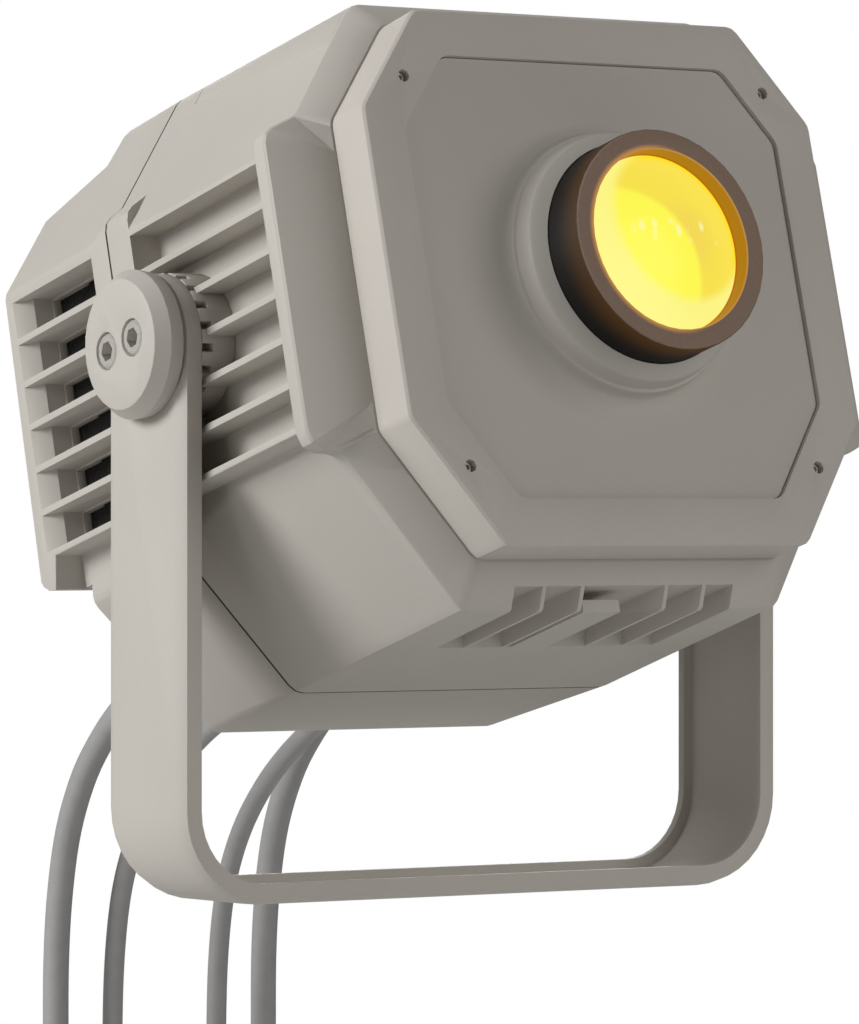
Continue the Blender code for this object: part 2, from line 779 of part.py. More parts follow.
def front_housing(head):
    made = loft("front_housing", front_rings(0.0, SEAM - SEAM_GAP / 2))
    hollow = cavity_corners(WALL, KEEL_WALL)
    cut(made, prism("hollow", rounded(hollow), SHOULDER_EDGE, 2 * SEAM))
    cut(made, prism("front_hollow", rounded(inset(hollow, NOSE_SINK)), SHOULDER + WALL, SEAM / 2))
    cut(made, *pocket_cutters(POCKET_FLOOR, POCKET_FRONT, POCKET_REAR))
    cut(made, *hub_pockets())
    cut(made, vent_cutter())
    cut(made, cover_prism("cover_recess", 0.0, COVER_THICKNESS + GAP))
    hatch_half = COVER_HALF - COVER_LEDGE * 3
    hatch_low = (-hatch_half, COVER_FRONT + COVER_LEDGE, ROOF / 2)
    hatch_high = (hatch_half, COVER_REAR - COVER_LEDGE, ROOF * 2)
    cut(made, box("hatch", hatch_low, hatch_high))
    cut(made, cylinder("light_path", BARREL_RADIUS - WALL, 2 * SHOULDER, 0.0, "Y", SMALL_ROUND))
    for x, z in bezel_screw_places():
        thread = cylinder("thread", BEZEL_SCREW_RADIUS * 0.6 + GAP, 2 * SHOULDER, 0.0, "Y", 8)
        cut(made, shift(thread, x, 0.0, z))
    return dress(made, "powder_coat", head)


def recess_cutter():
    """Everything behind the leaning rear face between the pods, and below them."""
    far = 2 * POD_REAR
    flare = RECESS_HALF + RECESS_FLARE * (far - REAR_AT_ROOF)
    rings = []
    for z in (-2 * ROOF, 2 * ROOF):
        face = rear_face(z)
        half = RECESS_HALF + RECESS_FLARE * (face - REAR_AT_ROOF)
        rings.append([(-half, face, z), (half, face, z), (flare, far, z), (-flare, far, z)])
    return loft("recess", rings)


def under_pod_cutter():
    """Cuts the pods level, rounds their lower rear corners and clears what lies below, behind the recess."""
    wide = 2 * POD_HALF_WIDTH
    far = 2 * POD_REAR
    low = -2 * ROOF
    rear = POD_REAR + POD_REAR_LEAN * POD_CORNER_RADIUS
    outline = [(rear_face(low) + STEP, low), (rear_face(POD_FLOOR) + STEP, POD_FLOOR)]
    for k in range(5):
        turn = math.pi / 2 * k / 4
        outline.append((rear - POD_CORNER_RADIUS * (1 - math.sin(turn)),
                        POD_FLOOR + POD_CORNER_RADIUS * (1 - math.cos(turn))))
    outline += [(far, POD_FLOOR + POD_CORNER_RADIUS), (far, low)]
    return loft("under_pod", [[(x, y, z) for y, z in outline] for x in (-wide, wide)])


def rear_hollow():
    """The rear cover's hollow, stopped one wall short of the leaning face."""
    hollow = prism("hollow", rounded(cavity_corners(WALL, WALL * 1.5), 2), 0.0, 2 * POD_REAR)
    wide = 2 * POD_HALF_WIDTH
    rings = []
    for z in (-2 * ROOF, 2 * ROOF):
        face = rear_face(z) - WALL
        far = 4 * POD_REAR
        rings.append([(-wide, face, z), (wide, face, z), (wide, far, z), (-wide, far, z)])
    return cut(hollow, loft("stop", rings))


def intake_chambers():
    """Air space inside each pod, behind the windows."""
    rear = REAR_POCKET_REAR - REAR_POCKET_EASE
    outer = REAR_POCKET_FLOOR - WALL
    top = FIN_TOP
    bottom = FIN_TOP - FIN_PITCH * (FIN_COUNT - 1)
    cutters = []
    for side in (-1, 1):
        near = RECESS_HALF + WALL * 0.9
        flare = near + RECESS_FLARE * (rear - REAR_AT_ROOF)
        plan = [(outer, SEAM), (outer, rear), (flare, rear), (near, REAR_AT_ROOF), (near, SEAM)]
        rings = [[(side * x, y, z) for x, y in plan] for z in (bottom, top)]
        cutters.append(loft("chamber", rings))
    return cutters


def window_cutters():
    """Air windows through the pocket floors."""
    cutters = []
    heights = fin_heights()
    for high, low in zip(heights, heights[1:]):
        for side in (-1, 1):
            near = min(side * REAR_POCKET_FLOOR * 0.9, side * 2 * POD_HALF_WIDTH)
            far = max(side * REAR_POCKET_FLOOR * 0.9, side * 2 * POD_HALF_WIDTH)
            if side > 0:
                near = REAR_POCKET_FLOOR - WALL * 1.2
            else:
                far = -REAR_POCKET_FLOOR + WALL * 1.2
            bottom = low + FIN_THICKNESS / 2 + WINDOW_LIP
            top = high - FIN_THICKNESS / 2 - WINDOW_LIP
            front = REAR_POCKET_FRONT + WINDOW_LIP
            rear = REAR_POCKET_REAR - REAR_POCKET_EASE - WINDOW_LIP
            cutters.append(box("window", (near, front, bottom), (far, rear, top)))
    return cutters


def gland_places():
    """Name, x, z, thread radius, cable diameter, body length for each cable entry."""
    mains_x, mains_z = MAINS_GLAND
    data_x, data_z = DATA_GLAND
    return [
        ("mains_gland_in", -mains_x, mains_z, MAINS_THREAD, MAINS_CABLE, MAINS_GLAND_LENGTH),
        ("data_gland_in", -data_x, data_z, DATA_THREAD, DATA_CABLE, DATA_GLAND_LENGTH),
        ("data_gland_out", data_x, data_z, DATA_THREAD, DATA_CABLE, DATA_GLAND_LENGTH),
        ("mains_gland_out", mains_x, mains_z, MAINS_THREAD, MAINS_CABLE, MAINS_GLAND_LENGTH),
    ]


def on_rear_face(made, x, z):
    """Turn a solid made along +Y from the origin to stand on the leaning rear face at x and z."""
    made.data.transform(Matrix.Rotation(math.atan(REAR_LEAN), 4, "X"))
    return shift(made, x, rear_face(z), z)


def seam_gasket_outlines():
    middle = cavity_corners(WALL, KEEL_WALL)
    inner = inset(middle, -0.0012)
    outer = inset(middle, -0.0012 - GASKET_WIDTH)
    return inner, outer


def frame_ring(name, inner, outer, near, far, steps=2):
    """A flat ring between two outlines."""
    rings = [
        at_depth(rounded(outer, steps), near),
        at_depth(rounded(outer, steps), far),
        at_depth(rounded(inner, steps), far),
        at_depth(rounded(inner, steps), near),
    ]
    return loft(name, rings, closed=True)


def rear_cover(head):
    made = loft("rear_cover", rear_rings(SEAM + SEAM_GAP / 2))
    cut(made, recess_cutter(), under_pod_cutter(), rear_hollow())
    cut(made, *intake_chambers())
    cut(made, *pocket_cutters(REAR_POCKET_FLOOR, REAR_POCKET_FRONT, REAR_POCKET_REAR, REAR_POCKET_EASE))
    cut(made, *window_cutters())
    inner, outer = seam_gasket_outlines()
    inner = inset(inner, GAP)
    outer = inset(outer, -GAP)
    cut(made, frame_ring("groove", inner, outer, 0.0, SEAM + GASKET_DEPTH + GAP))
    for name, x, z, thread, cable, length in gland_places():
        hole = cylinder("hole", thread + GAP, -2 * WALL, 2 * WALL, "Y", TINY_ROUND)
        cut(made, on_rear_face(hole, x, z))
    hole = cylinder("hole", VENT_PLUG_RADIUS * 0.7 + GAP, -2 * WALL, 2 * WALL, "Y", TINY_ROUND)
    cut(made, on_rear_face(hole, 0.0, VENT_PLUG_Z))
    return dress(made, "powder_coat", head)


def seam_gasket(head):
    inner, outer = seam_gasket_outlines()
    made = frame_ring("seam_gasket", inner, outer, SEAM - SEAM_GAP / 2 + GAP, SEAM + GASKET_DEPTH)
    return dress(made, "rubber", head)


def service_cover(head):
    made = cover_prism("service_cover", GAP, COVER_THICKNESS)
    combine(made, loft("skin", front_rings(0.0, SEAM)), "INTERSECT")
    return dress(made, "powder_coat", head)


# Front face


def bezel_corners():
    return octagon(BEZEL_HALF_WIDTH, BEZEL_HALF_HEIGHT, BEZEL_TOP_CUT, BEZEL_BOTTOM_CUT, BEZEL_RADIUS)


def panel_corners():
    return octagon(PANEL_HALF_WIDTH, PANEL_HALF_HEIGHT, PANEL_TOP_CUT, PANEL_BOTTOM_CUT, BEZEL_RADIUS)


def front_bezel(head):
    outline = bezel_corners()
    back = SHOULDER - GAP
    made = loft("front_bezel", [
        at_depth(rounded(outline), back),
        at_depth(rounded(outline), BEZEL_FRONT + BEZEL_EDGE),
        at_depth(rounded(inset(outline, BEZEL_EDGE)), BEZEL_FRONT),
    ])
    recess = panel_corners()
    floor = PANEL_FACE + PANEL_THICKNESS + GAP
    cut(made, prism("recess", rounded(recess), 2 * BEZEL_FRONT, floor))
    cut(made, prism("opening", rounded(inset(recess, PANEL_LEDGE)), 2 * BEZEL_FRONT, 0.0))
    inner = inset(outline, PANEL_LEDGE / 2 + GASKET_WIDTH + GAP)
    outer = inset(outline, PANEL_LEDGE / 2 - GAP)
    groove_floor = back - GASKET_DEPTH - GAP
    cut(made, frame_ring("groove", inner, outer, groove_floor, 0.0))
    for x, z in bezel_screw_places():
        bore = cylinder("bore", BEZEL_SCREW_RADIUS + GAP, 2 * BEZEL_FRONT, BEZEL_FRONT + BEZEL_SCREW_DEPTH, "Y", 8)
        shank = cylinder("shank", BEZEL_SCREW_RADIUS * 0.6 + GAP, 2 * BEZEL_FRONT, 0.0, "Y", 8)
        cut(made, shift(bore, x, 0.0, z), shift(shank, x, 0.0, z))
    return dress(made, "powder_coat", head)


def bezel_gasket(head):
    outline = bezel_corners()
    inner = inset(outline, PANEL_LEDGE / 2 + GASKET_WIDTH)
    outer = inset(outline, PANEL_LEDGE / 2)
    back = SHOULDER - GAP
    made = frame_ring("bezel_gasket", inner, outer, back - GASKET_DEPTH, back)
    return dress(made, "rubber", head)


def cap_screw(name, head_radius, head, shank_radius, length, socket, segments=TINY_ROUND):
    """A socket-head screw along +Y: the head's face at 0, the shank towards +Y."""
    edge = head_radius * 0.14
    made = lathe(name, [
        (0.0, 0.0),
        (head_radius - edge, 0.0),
        (head_radius, edge),
        (head_radius, head),
        (shank_radius, head),
        (shank_radius, head + length),
        (0.0, head + length),
    ], "Y", segments)
    return cut(made, hexagon("socket", 2 * socket, -head, head * 0.55))


def bezel_screws(head):
    seat = BEZEL_FRONT + BEZEL_SCREW_DEPTH
    tall = BEZEL_SCREW_RADIUS
    reach = SHOULDER + WALL - seat
    for k, (x, z) in enumerate(bezel_screw_places()):
        screw = cap_screw(f"bezel_screw_{k + 1}", BEZEL_SCREW_RADIUS, tall, BEZEL_SCREW_RADIUS * 0.6, reach,
                          BEZEL_SCREW_RADIUS * 0.45, 8)
        dress(screw, "stainless", head, (x, seat - tall - GAP, z))


def front_panel(head):
    outline = rounded(inset(panel_corners(), GAP))
    made = prism("front_panel", outline, PANEL_FACE, PANEL_FACE + PANEL_THICKNESS)
    foot = SHOULDER - BARREL_FLANGE - 2 * GAP
    back = PANEL_FACE + PANEL_THICKNESS / 2
    profile = [(BARREL_RADIUS - WALL, foot), (COLLAR_RADIUS, foot), (COLLAR_RADIUS, back), (COLLAR_FOOT_RADIUS, back)]
    sweep = COLLAR_FOOT_RADIUS - COLLAR_RADIUS - COLLAR_FOOT_RISE
    for k in range(4):
        turn = math.pi / 4 * k / 3
        profile.append((COLLAR_FOOT_RADIUS - sweep * math.sin(turn),
                        PANEL_FACE - COLLAR_FOOT_RISE * (1 - math.cos(turn)) / (1 - math.cos(math.pi / 4))))
    chamfer = COLLAR_RIM_RISE * 0.03
    profile += [
        (COLLAR_RADIUS + 2 * chamfer, PANEL_FACE - COLLAR_WALL_RISE),
        (COLLAR_RIM_RADIUS + chamfer, PANEL_FACE - COLLAR_RIM_RISE + 2 * chamfer),
        (COLLAR_RIM_RADIUS - chamfer, PANEL_FACE - COLLAR_RIM_RISE - chamfer),
        (COLLAR_TOP_RADIUS, PANEL_FACE - COLLAR_RISE),
        (BARREL_RADIUS - WALL, PANEL_FACE - COLLAR_RISE),
    ]
    fuse(made, lathe("collar", profile, "Y", FINE_ROUND))
    cut(made, cylinder("bore", BARREL_RADIUS + GAP, 2 * BARREL_FRONT, 0.0, "Y", FINE_ROUND))
    return dress(made, "powder_coat", head)


def lens_barrel(head):
    """Tube with a flange on the front wall and a lip that frames the lens."""
    back = SHOULDER - GAP
    bore = LENS_RADIUS + GAP
    seat = BARREL_FRONT + APERTURE_DEPTH
    groove = back - GASKET_DEPTH - GAP
    made = lathe("lens_barrel", [
        (APERTURE_RADIUS, BARREL_FRONT),
        (BARREL_RADIUS - 0.0008, BARREL_FRONT),
        (BARREL_RADIUS, BARREL_FRONT + 0.0008),
        (BARREL_RADIUS, back - BARREL_FLANGE),
        (BARREL_FLANGE_RADIUS, back - BARREL_FLANGE),
        (BARREL_FLANGE_RADIUS, back),
        (BARREL_RADIUS + GASKET_WIDTH + GAP, back),
        (BARREL_RADIUS + GASKET_WIDTH + GAP, groove),
        (BARREL_RADIUS - GAP, groove),
        (BARREL_RADIUS - GAP, back),
        (bore, back),
        (bore, seat),
        (APERTURE_RADIUS, seat),
    ], "Y", FINE_ROUND)
    return dress(made, "black_anodised", head)


def barrel_seal(head):
    back = SHOULDER - GAP
    made = ring("barrel_seal", BARREL_RADIUS, BARREL_RADIUS + GASKET_WIDTH, back - GASKET_DEPTH, back, "Y", FINE_ROUND)
    return dress(made, "rubber", head)


def crowned_disc(name, radius, edge, front_crown, back_crown, rings=3, segments=SMALL_ROUND, flat=0.0):
    """A lens along Y: its edge from 0 to edge, domed towards -Y and +Y inside a flat margin."""
    profile = []
    dome = radius - flat
    for k in range(rings):
        share = k / rings
        profile.append((dome * share, -front_crown * (1 - share * share)))
    profile.append((dome, 0.0))
    if flat > 0:
        profile.append((radius, 0.0))
    profile.append((radius, edge))
    if flat > 0:
        profile.append((dome, edge))
    for k in range(rings - 1, -1, -1):
        share = k / rings
        profile.append((dome * share, edge + back_crown * (1 - share * share)))
    return lathe(name, profile, "Y", segments)


def lens_glass(head):
    seat = BARREL_FRONT + APERTURE_DEPTH + GAP
    margin = LENS_RADIUS - APERTURE_RADIUS + GAP
    made = crowned_disc("lens_glass", LENS_RADIUS, LENS_EDGE, LENS_CROWN, LENS_BACK_CROWN, 3, FINE_ROUND, margin)
    return dress(made, "amber_glass", head, (0.0, seat, 0.0), crease=30.0)


def lens_ring(head):
    near = BARREL_FRONT + APERTURE_DEPTH + LENS_EDGE + 2 * GAP
    made = ring("lens_ring", APERTURE_RADIUS + GAP, LENS_RADIUS, near, near + LENS_RING, "Y", FINE_ROUND)
    return dress(made, "black_anodised", head)


# Tilt clutch, one on each side


def tilt_hub(head, side, name):
    """Hub on the pocket floor: a castellated rim against the arm, and a spigot through it."""
    seat = POCKET_FLOOR + GAP
    rim = INNER_ARM - GAP
    root = rim - HUB_TOOTH_HEIGHT
    made = lathe(name, [
        (0.0, seat),
        (HUB_RADIUS, seat),
        (HUB_RADIUS, rim),
        (SPIGOT_RADIUS, rim),
        (SPIGOT_RADIUS, YOKE_HALF_WIDTH),
        (0.0, YOKE_HALF_WIDTH),
    ], "X", ROUND)
    pitch = 2 * math.pi / HUB_TEETH
    half = pitch * HUB_SPACE_SHARE / 2
    for k in range(HUB_TEETH):
        middle = pitch * k
        wedge = []
        for radius, turn in ((HUB_TOOTH_FOOT, -half), (HUB_RADIUS * 1.1, -half),
                             (HUB_RADIUS * 1.1, half), (HUB_TOOTH_FOOT, half)):
            wedge.append((radius * math.cos(middle + turn), radius * math.sin(middle + turn)))
        cut(made, loft("space", [[(x, y, z) for y, z in wedge] for x in (root, rim + HUB_TOOTH_HEIGHT)]))
    for shift_y in (-CLAMP_SCREW_SPACING / 2, CLAMP_SCREW_SPACING / 2):
        depth = YOKE_HALF_WIDTH - CLAMP_SCREW_LENGTH
        thread = cylinder("thread", CLAMP_SCREW_RADIUS + GAP, depth, 2 * YOKE_HALF_WIDTH, "X", TINY_ROUND)
        cut(made, shift(thread, 0.0, shift_y, 0.0))
    mirror_x(made, side)
    return dress(made, "powder_coat", head)


def mirror_x(made, side):
    """Turn a right-hand solid half round to the left side; these solids look the same both ways up."""
    if side < 0:
        made.data.transform(Matrix.Rotation(math.pi, 4, "Z"))
    return made


def clamp_disc(head, side, name):
    """Stepped disc outside the arm, with two counterbored screw holes."""
    back = YOKE_HALF_WIDTH + GAP
    face = back + DISC_THICKNESS
    profile = [(0.0, back), (DISC_BACK_RADIUS, back), (DISC_RADIUS, back + DISC_STEP)]
    for k in range(3):
        turn = math.pi / 2 * k / 2
        profile.append((DISC_FACE_RADIUS + DISC_FILLET * math.cos(turn), face - DISC_FILLET * (1 - math.sin(turn))))
    profile.append((0.0, face))
    made = lathe(name, profile, "X", ROUND)
    for shift_y in (-CLAMP_SCREW_SPACING / 2, CLAMP_SCREW_SPACING / 2):
        well = cylinder("well", COUNTERBORE_RADIUS, face - COUNTERBORE_DEPTH, 2 * face, "X", SMALL_ROUND)
        hole = cylinder("hole", CLAMP_SCREW_RADIUS + GAP, 0.0, 2 * face, "X", TINY_ROUND)
        cut(made, shift(well, 0.0, shift_y, 0.0), shift(hole, 0.0, shift_y, 0.0))
    mirror_x(made, side)
    return dress(made, "powder_coat", head)


def clamp_screws(head, side, name):
    seat = YOKE_HALF_WIDTH + GAP + DISC_THICKNESS - COUNTERBORE_DEPTH
    face = seat + GAP + CLAMP_SCREW_HEAD
    for word, shift_y in (("front", -CLAMP_SCREW_SPACING / 2), ("rear", CLAMP_SCREW_SPACING / 2)):
        screw = cap_screw(name + "_" + word, CLAMP_SCREW_HEAD_RADIUS, CLAMP_SCREW_HEAD, CLAMP_SCREW_RADIUS,
                          CLAMP_SCREW_LENGTH - 0.002, CLAMP_SCREW_SOCKET, SMALL_ROUND)
        screw.data.transform(Matrix.Rotation(side * math.pi / 2, 4, "Z"))
        dress(screw, "stainless", head, (side * face, shift_y, 0.0))


# Inside the head


def optics_chassis(head):
    """Folded plate: front wall on the casting, floor, and the wall that carries the light engine."""
    back = MID_WALL + SHEET
    made = box("optics_chassis", (-CHASSIS_HALF, CHASSIS_FRONT, CHASSIS_FLOOR - SHEET),
               (CHASSIS_HALF, back, CHASSIS_TOP))
    cut(made, box("inside", (-2 * CHASSIS_HALF, CHASSIS_FRONT + SHEET, CHASSIS_FLOOR),
                  (2 * CHASSIS_HALF, MID_WALL, 2 * CHASSIS_TOP)))
    cut(made, cylinder("front_hole", APERTURE_RADIUS, 2 * CHASSIS_FRONT, CHASSIS_FRONT + 2 * SHEET, "Y", SMALL_ROUND))
    cut(made, cylinder("mid_hole", CONDENSER_LENS_RADIUS, MID_WALL - SHEET, MID_WALL + 2 * SHEET, "Y", SMALL_ROUND))
    shaft_hole = cylinder("shaft_hole", SHAFT_RADIUS + RUNNING_GAP, MID_WALL - SHEET, MID_WALL + 2 * SHEET, "Y", TINY_ROUND)
    cut(made, shift(shaft_hole, 0.0, 0.0, WHEEL_Z))
    rod = cylinder("actuator_hole", ACTUATOR_SHAFT_RADIUS + RUNNING_GAP, 2 * CHASSIS_FRONT,
                   CHASSIS_FRONT + 2 * SHEET, "Y", TINY_ROUND)
    cut(made, shift(rod, 0.0, 0.0, -CHASSIS_TOP * 0.75))
    return dress(made, "aluminium", head)


def guide_rods(head):
    near = CHASSIS_FRONT + SHEET + GAP
    far = MID_WALL - GAP
    for word, side in (("left", -1), ("right", 1)):
        rod = cylinder("guide_rod_" + word, ROD_RADIUS, near, far, "Y", TINY_ROUND)
        dress(rod, "stainless", head, (side * ROD_X, 0.0, ROD_Z))


def focus_carriage(head):
    """Lens ring with a bush on each rod and an arm to the actuator's shaft."""
    half = CARRIAGE_THICKNESS / 2
    made = cylinder("focus_carriage", CARRIAGE_RING_RADIUS, -half, half, "Y", SMALL_ROUND)
    arm_z = -CHASSIS_TOP * 0.75
    fuse(made, box("arm", (-CARRIAGE_ARM_HALF, -half * 0.8, arm_z - CARRIAGE_ARM_HALF),
                   (CARRIAGE_ARM_HALF, half * 0.8, 0.0)))
    for side in (-1, 1):
        near = min(0.0, side * ROD_X)
        far = max(0.0, side * ROD_X)
        fuse(made, box("bar", (near, -half * 0.9, CARRIAGE_BAR_LOW), (far, half * 0.9, ROD_Z + CARRIAGE_BAR_RISE)))
        bush = cylinder("bush", BUSH_RADIUS, -BUSH_LENGTH / 2, BUSH_LENGTH / 2, "Y", TINY_ROUND)
        fuse(made, shift(bush, side * ROD_X, 0.0, ROD_Z))
    for side in (-1, 1):
        bore = cylinder("bore", ROD_RADIUS + GAP, -BUSH_LENGTH, BUSH_LENGTH, "Y", TINY_ROUND)
        cut(made, shift(bore, side * ROD_X, 0.0, ROD_Z))
    cut(made, cylinder("light_path", FOCUS_LENS_RADIUS - FOCUS_LENS_LEDGE, -BUSH_LENGTH, BUSH_LENGTH, "Y", SMALL_ROUND))
    cut(made, cylinder("lens_seat", FOCUS_LENS_RADIUS + GAP, -BUSH_LENGTH, half - FOCUS_LENS_SEAT, "Y", SMALL_ROUND))
    reach = CHASSIS_FRONT + SHEET + GAP + ACTUATOR_LENGTH * 0.5 - CARRIAGE_AT
    shaft = cylinder("shaft", ACTUATOR_SHAFT_RADIUS, reach, 0.0, "Y", TINY_ROUND)
    fuse(made, shift(shaft, 0.0, 0.0, arm_z))
    return dress(made, "aluminium", head, (0.0, CARRIAGE_AT, 0.0))


def focus_lens(head):
    made = crowned_disc("focus_lens", FOCUS_LENS_RADIUS, FOCUS_LENS_EDGE, FOCUS_LENS_CROWN, 0.0)
    place = CARRIAGE_AT + CARRIAGE_THICKNESS / 2 - FOCUS_LENS_SEAT - GAP - FOCUS_LENS_EDGE
    return dress(made, "clear_glass", head, (0.0, place, 0.0), crease=30.0)


def focus_actuator(head):
    """Captive linear motor on the chassis's front wall; its shaft slides with the carriage."""
    near = CHASSIS_FRONT + SHEET + GAP
    half = ACTUATOR_SIZE / 2
    made = box("focus_actuator", (-half, near, -half), (half, near + ACTUATOR_LENGTH, half))
    cut(made, cylinder("bore", ACTUATOR_SHAFT_RADIUS + RUNNING_GAP, near * 2, 0.0, "Y", TINY_ROUND))
    shift(made, 0.0, 0.0, -CHASSIS_TOP * 0.75)
    return dress(made, "black_plastic", head)


def gobo_wheel(head):
    """Carousel on the motor's shaft, with a round window for each gobo."""
    half = WHEEL_THICKNESS / 2
    made = cylinder("gobo_wheel", WHEEL_RADIUS, -half, half, "Y", SMALL_ROUND)
    for k in range(GOBO_COUNT):
        turn = math.pi / 2 + 2 * math.pi * k / GOBO_COUNT
        window = cylinder("window", GOBO_RADIUS + GAP, -WHEEL_THICKNESS, WHEEL_THICKNESS, "Y", TINY_ROUND)
        cut(made, shift(window, GOBO_CIRCLE * math.cos(turn), 0.0, GOBO_CIRCLE * math.sin(turn)))
    reach = MID_WALL + SHEET + GAP + GOBO_MOTOR_LENGTH / 2 - WHEEL_AT
    fuse(made, cylinder("hub", WHEEL_HUB_RADIUS, -WHEEL_HUB_HALF, WHEEL_HUB_HALF, "Y", TINY_ROUND))
    fuse(made, cylinder("shaft", SHAFT_RADIUS, 0.0, reach, "Y", TINY_ROUND))
    return dress(made, "aluminium", head, (0.0, WHEEL_AT, WHEEL_Z))


def gobos(head):
    """Thin patterned glasses in the wheel's windows."""
    for k in range(GOBO_COUNT):
        turn = math.pi / 2 + 2 * math.pi * k / GOBO_COUNT
        disc = cylinder(f"gobo_{k + 1}", GOBO_RADIUS, -WHEEL_THICKNESS / 4, WHEEL_THICKNESS / 4, "Y", TINY_ROUND)
        place = (GOBO_CIRCLE * math.cos(turn), WHEEL_AT, WHEEL_Z + GOBO_CIRCLE * math.sin(turn))
        dress(disc, "clear_glass", head, place)


def gobo_motor(head):
    near = MID_WALL + SHEET + GAP
    half = GOBO_MOTOR_SIZE / 2
    made = box("gobo_motor", (-half, near, -half), (half, near + GOBO_MOTOR_LENGTH, half))
    cut(made, cylinder("bore", SHAFT_RADIUS + RUNNING_GAP, -1.0, near + GOBO_MOTOR_LENGTH * 0.6, "Y", TINY_ROUND))
    shift(made, 0.0, 0.0, WHEEL_Z)
    return dress(made, "black_plastic", head)


def condenser_holder(head):
    near = MID_WALL + SHEET + GAP
    far = SINK_BASE_AT - GAP - LED_BOARD - GAP
    seat = near + 0.010
    made = lathe("condenser_holder", [
        (CONDENSER_LENS_RADIUS - 0.002, near),
        (CONDENSER_RADIUS, near),
        (CONDENSER_RADIUS, far),
        (CONDENSER_LENS_RADIUS + GAP, far),
        (CONDENSER_LENS_RADIUS + GAP, seat),
        (CONDENSER_LENS_RADIUS - 0.002, seat),
    ], "Y", SMALL_ROUND)
    return dress(made, "black_anodised", head)


def condenser_lens(head):
    place = MID_WALL + SHEET + GAP + 0.010 + GAP
    made = crowned_disc("condenser_lens", CONDENSER_LENS_RADIUS, 0.004, 0.0, CONDENSER_CROWN)
    return dress(made, "clear_glass", head, (0.0, place, 0.0), crease=30.0)


def led_board(head):
    near = SINK_BASE_AT - GAP - LED_BOARD
    half = LED_BOARD_HALF
    made = box("led_board", (-half, near, -half), (half, near + LED_BOARD, half))
    fuse(made, cylinder("emitter", LED_RADIUS, near - 0.0015, near + LED_BOARD / 2, "Y", TINY_ROUND))
    return dress(made, "led_face", head)


def heat_sink(head):
    """Base plate with straight fins, on four posts from the chassis."""
    base_rear = SINK_BASE_AT + SINK_BASE
    made = box("heat_sink", (-SINK_HALF_WIDTH, SINK_BASE_AT, -SINK_HALF_HEIGHT),
               (SINK_HALF_WIDTH, base_rear + SINK_FIN_LENGTH, SINK_HALF_HEIGHT))
    pitch = (2 * SINK_HALF_WIDTH - SINK_FIN) / (SINK_FIN_COUNT - 1)
    for k in range(SINK_FIN_COUNT - 1):
        near = -SINK_HALF_WIDTH + SINK_FIN + pitch * k
        cut(made, box("space", (near, base_rear, -2 * SINK_HALF_HEIGHT),
                      (near + pitch - SINK_FIN, 1.0, 2 * SINK_HALF_HEIGHT)))
    near = MID_WALL + SHEET + GAP
    for x, z in SINK_POSTS:
        for side in (-1, 1):
            post = cylinder("post", POST_RADIUS, near, SINK_BASE_AT + SINK_BASE / 2, "Y", TINY_ROUND)
            fuse(made, shift(post, side * x, 0.0, z))
    return dress(made, "aluminium", head)


def fan_front():
    return SINK_BASE_AT + SINK_BASE + SINK_FIN_LENGTH + GAP


def fan_housing(head):
    near = fan_front()
    made = box("fan_housing", (-FAN_HALF, near, -FAN_HALF), (FAN_HALF, near + FAN_THICKNESS, FAN_HALF))
    bore = FAN_RADIUS + FAN_TIP_CLEARANCE
    cut(made, cylinder("bore", bore, near - 1.0, near + FAN_THICKNESS - FAN_GUARD, "Y", SMALL_ROUND))
    outlet = ring("outlet", FAN_HUB_RADIUS, bore, near + FAN_THICKNESS / 2, 1.0, "Y", SMALL_ROUND)
    for wide, tall in ((1.0, FAN_STRUT_HALF), (FAN_STRUT_HALF, 1.0)):
        cut(outlet, box("strut", (-wide, 0.0, -tall), (wide, 2.0, tall)))
    cut(made, outlet)
    pin_far = near + FAN_THICKNESS - FAN_GUARD + FAN_PIN_SINK
    fuse(made, cylinder("pin", FAN_PIN_RADIUS, near + FAN_PIN_START, pin_far, "Y", TINY_ROUND))
    shift(made, 0.0, 0.0, FAN_Z)
    return dress(made, "black_plastic", head)


def fan_rotor(head):
    """Hub on the housing's pin, with raked blades."""
    near = FAN_ROTOR_START
    far = FAN_THICKNESS - FAN_ROTOR_END
    made = cylinder("fan_rotor", FAN_HUB_RADIUS, near, far, "Y", SMALL_ROUND)
    for k in range(FAN_BLADES):
        start = near + BLADE_MARGIN
        end = far - BLADE_MARGIN
        blade = loft("blade", [
            [(-BLADE_RAKE - BLADE_HALF, start, radius), (-BLADE_RAKE + BLADE_HALF, start, radius),
             (BLADE_RAKE + BLADE_HALF, end, radius), (BLADE_RAKE - BLADE_HALF, end, radius)]
            for radius in (FAN_HUB_RADIUS - BLADE_ROOT, FAN_RADIUS)
        ])
        blade.data.transform(Matrix.Rotation(2 * math.pi * k / FAN_BLADES, 4, "Y"))
        fuse(made, blade)
    cut(made, cylinder("bore", FAN_PIN_RADIUS + GAP, FAN_BORE_START, 1.0, "Y", TINY_ROUND))
    return dress(made, "black_plastic", head, (0.0, fan_front(), FAN_Z))


def driver_board(head):
    low = CHASSIS_TOP + GAP
    made = box("driver_board", (-BOARD_HALF, CHASSIS_FRONT, low), (BOARD_HALF, MID_WALL + SHEET, low + BOARD))
    for x, y, wide, deep, tall in BOARD_PARTS:
        fuse(made, box("part", (x, y, low + BOARD / 2), (x + wide, y + deep, low + BOARD + tall)))
    return dress(made, "circuit_board", head)


def power_supply(head):
    low = KEEL + KEEL_WALL + GAP
    made = box("power_supply", (-SUPPLY_HALF, SUPPLY_FRONT, low), (SUPPLY_HALF, SUPPLY_REAR, low + SUPPLY_HEIGHT))
    return dress(made, "black_plastic", head)


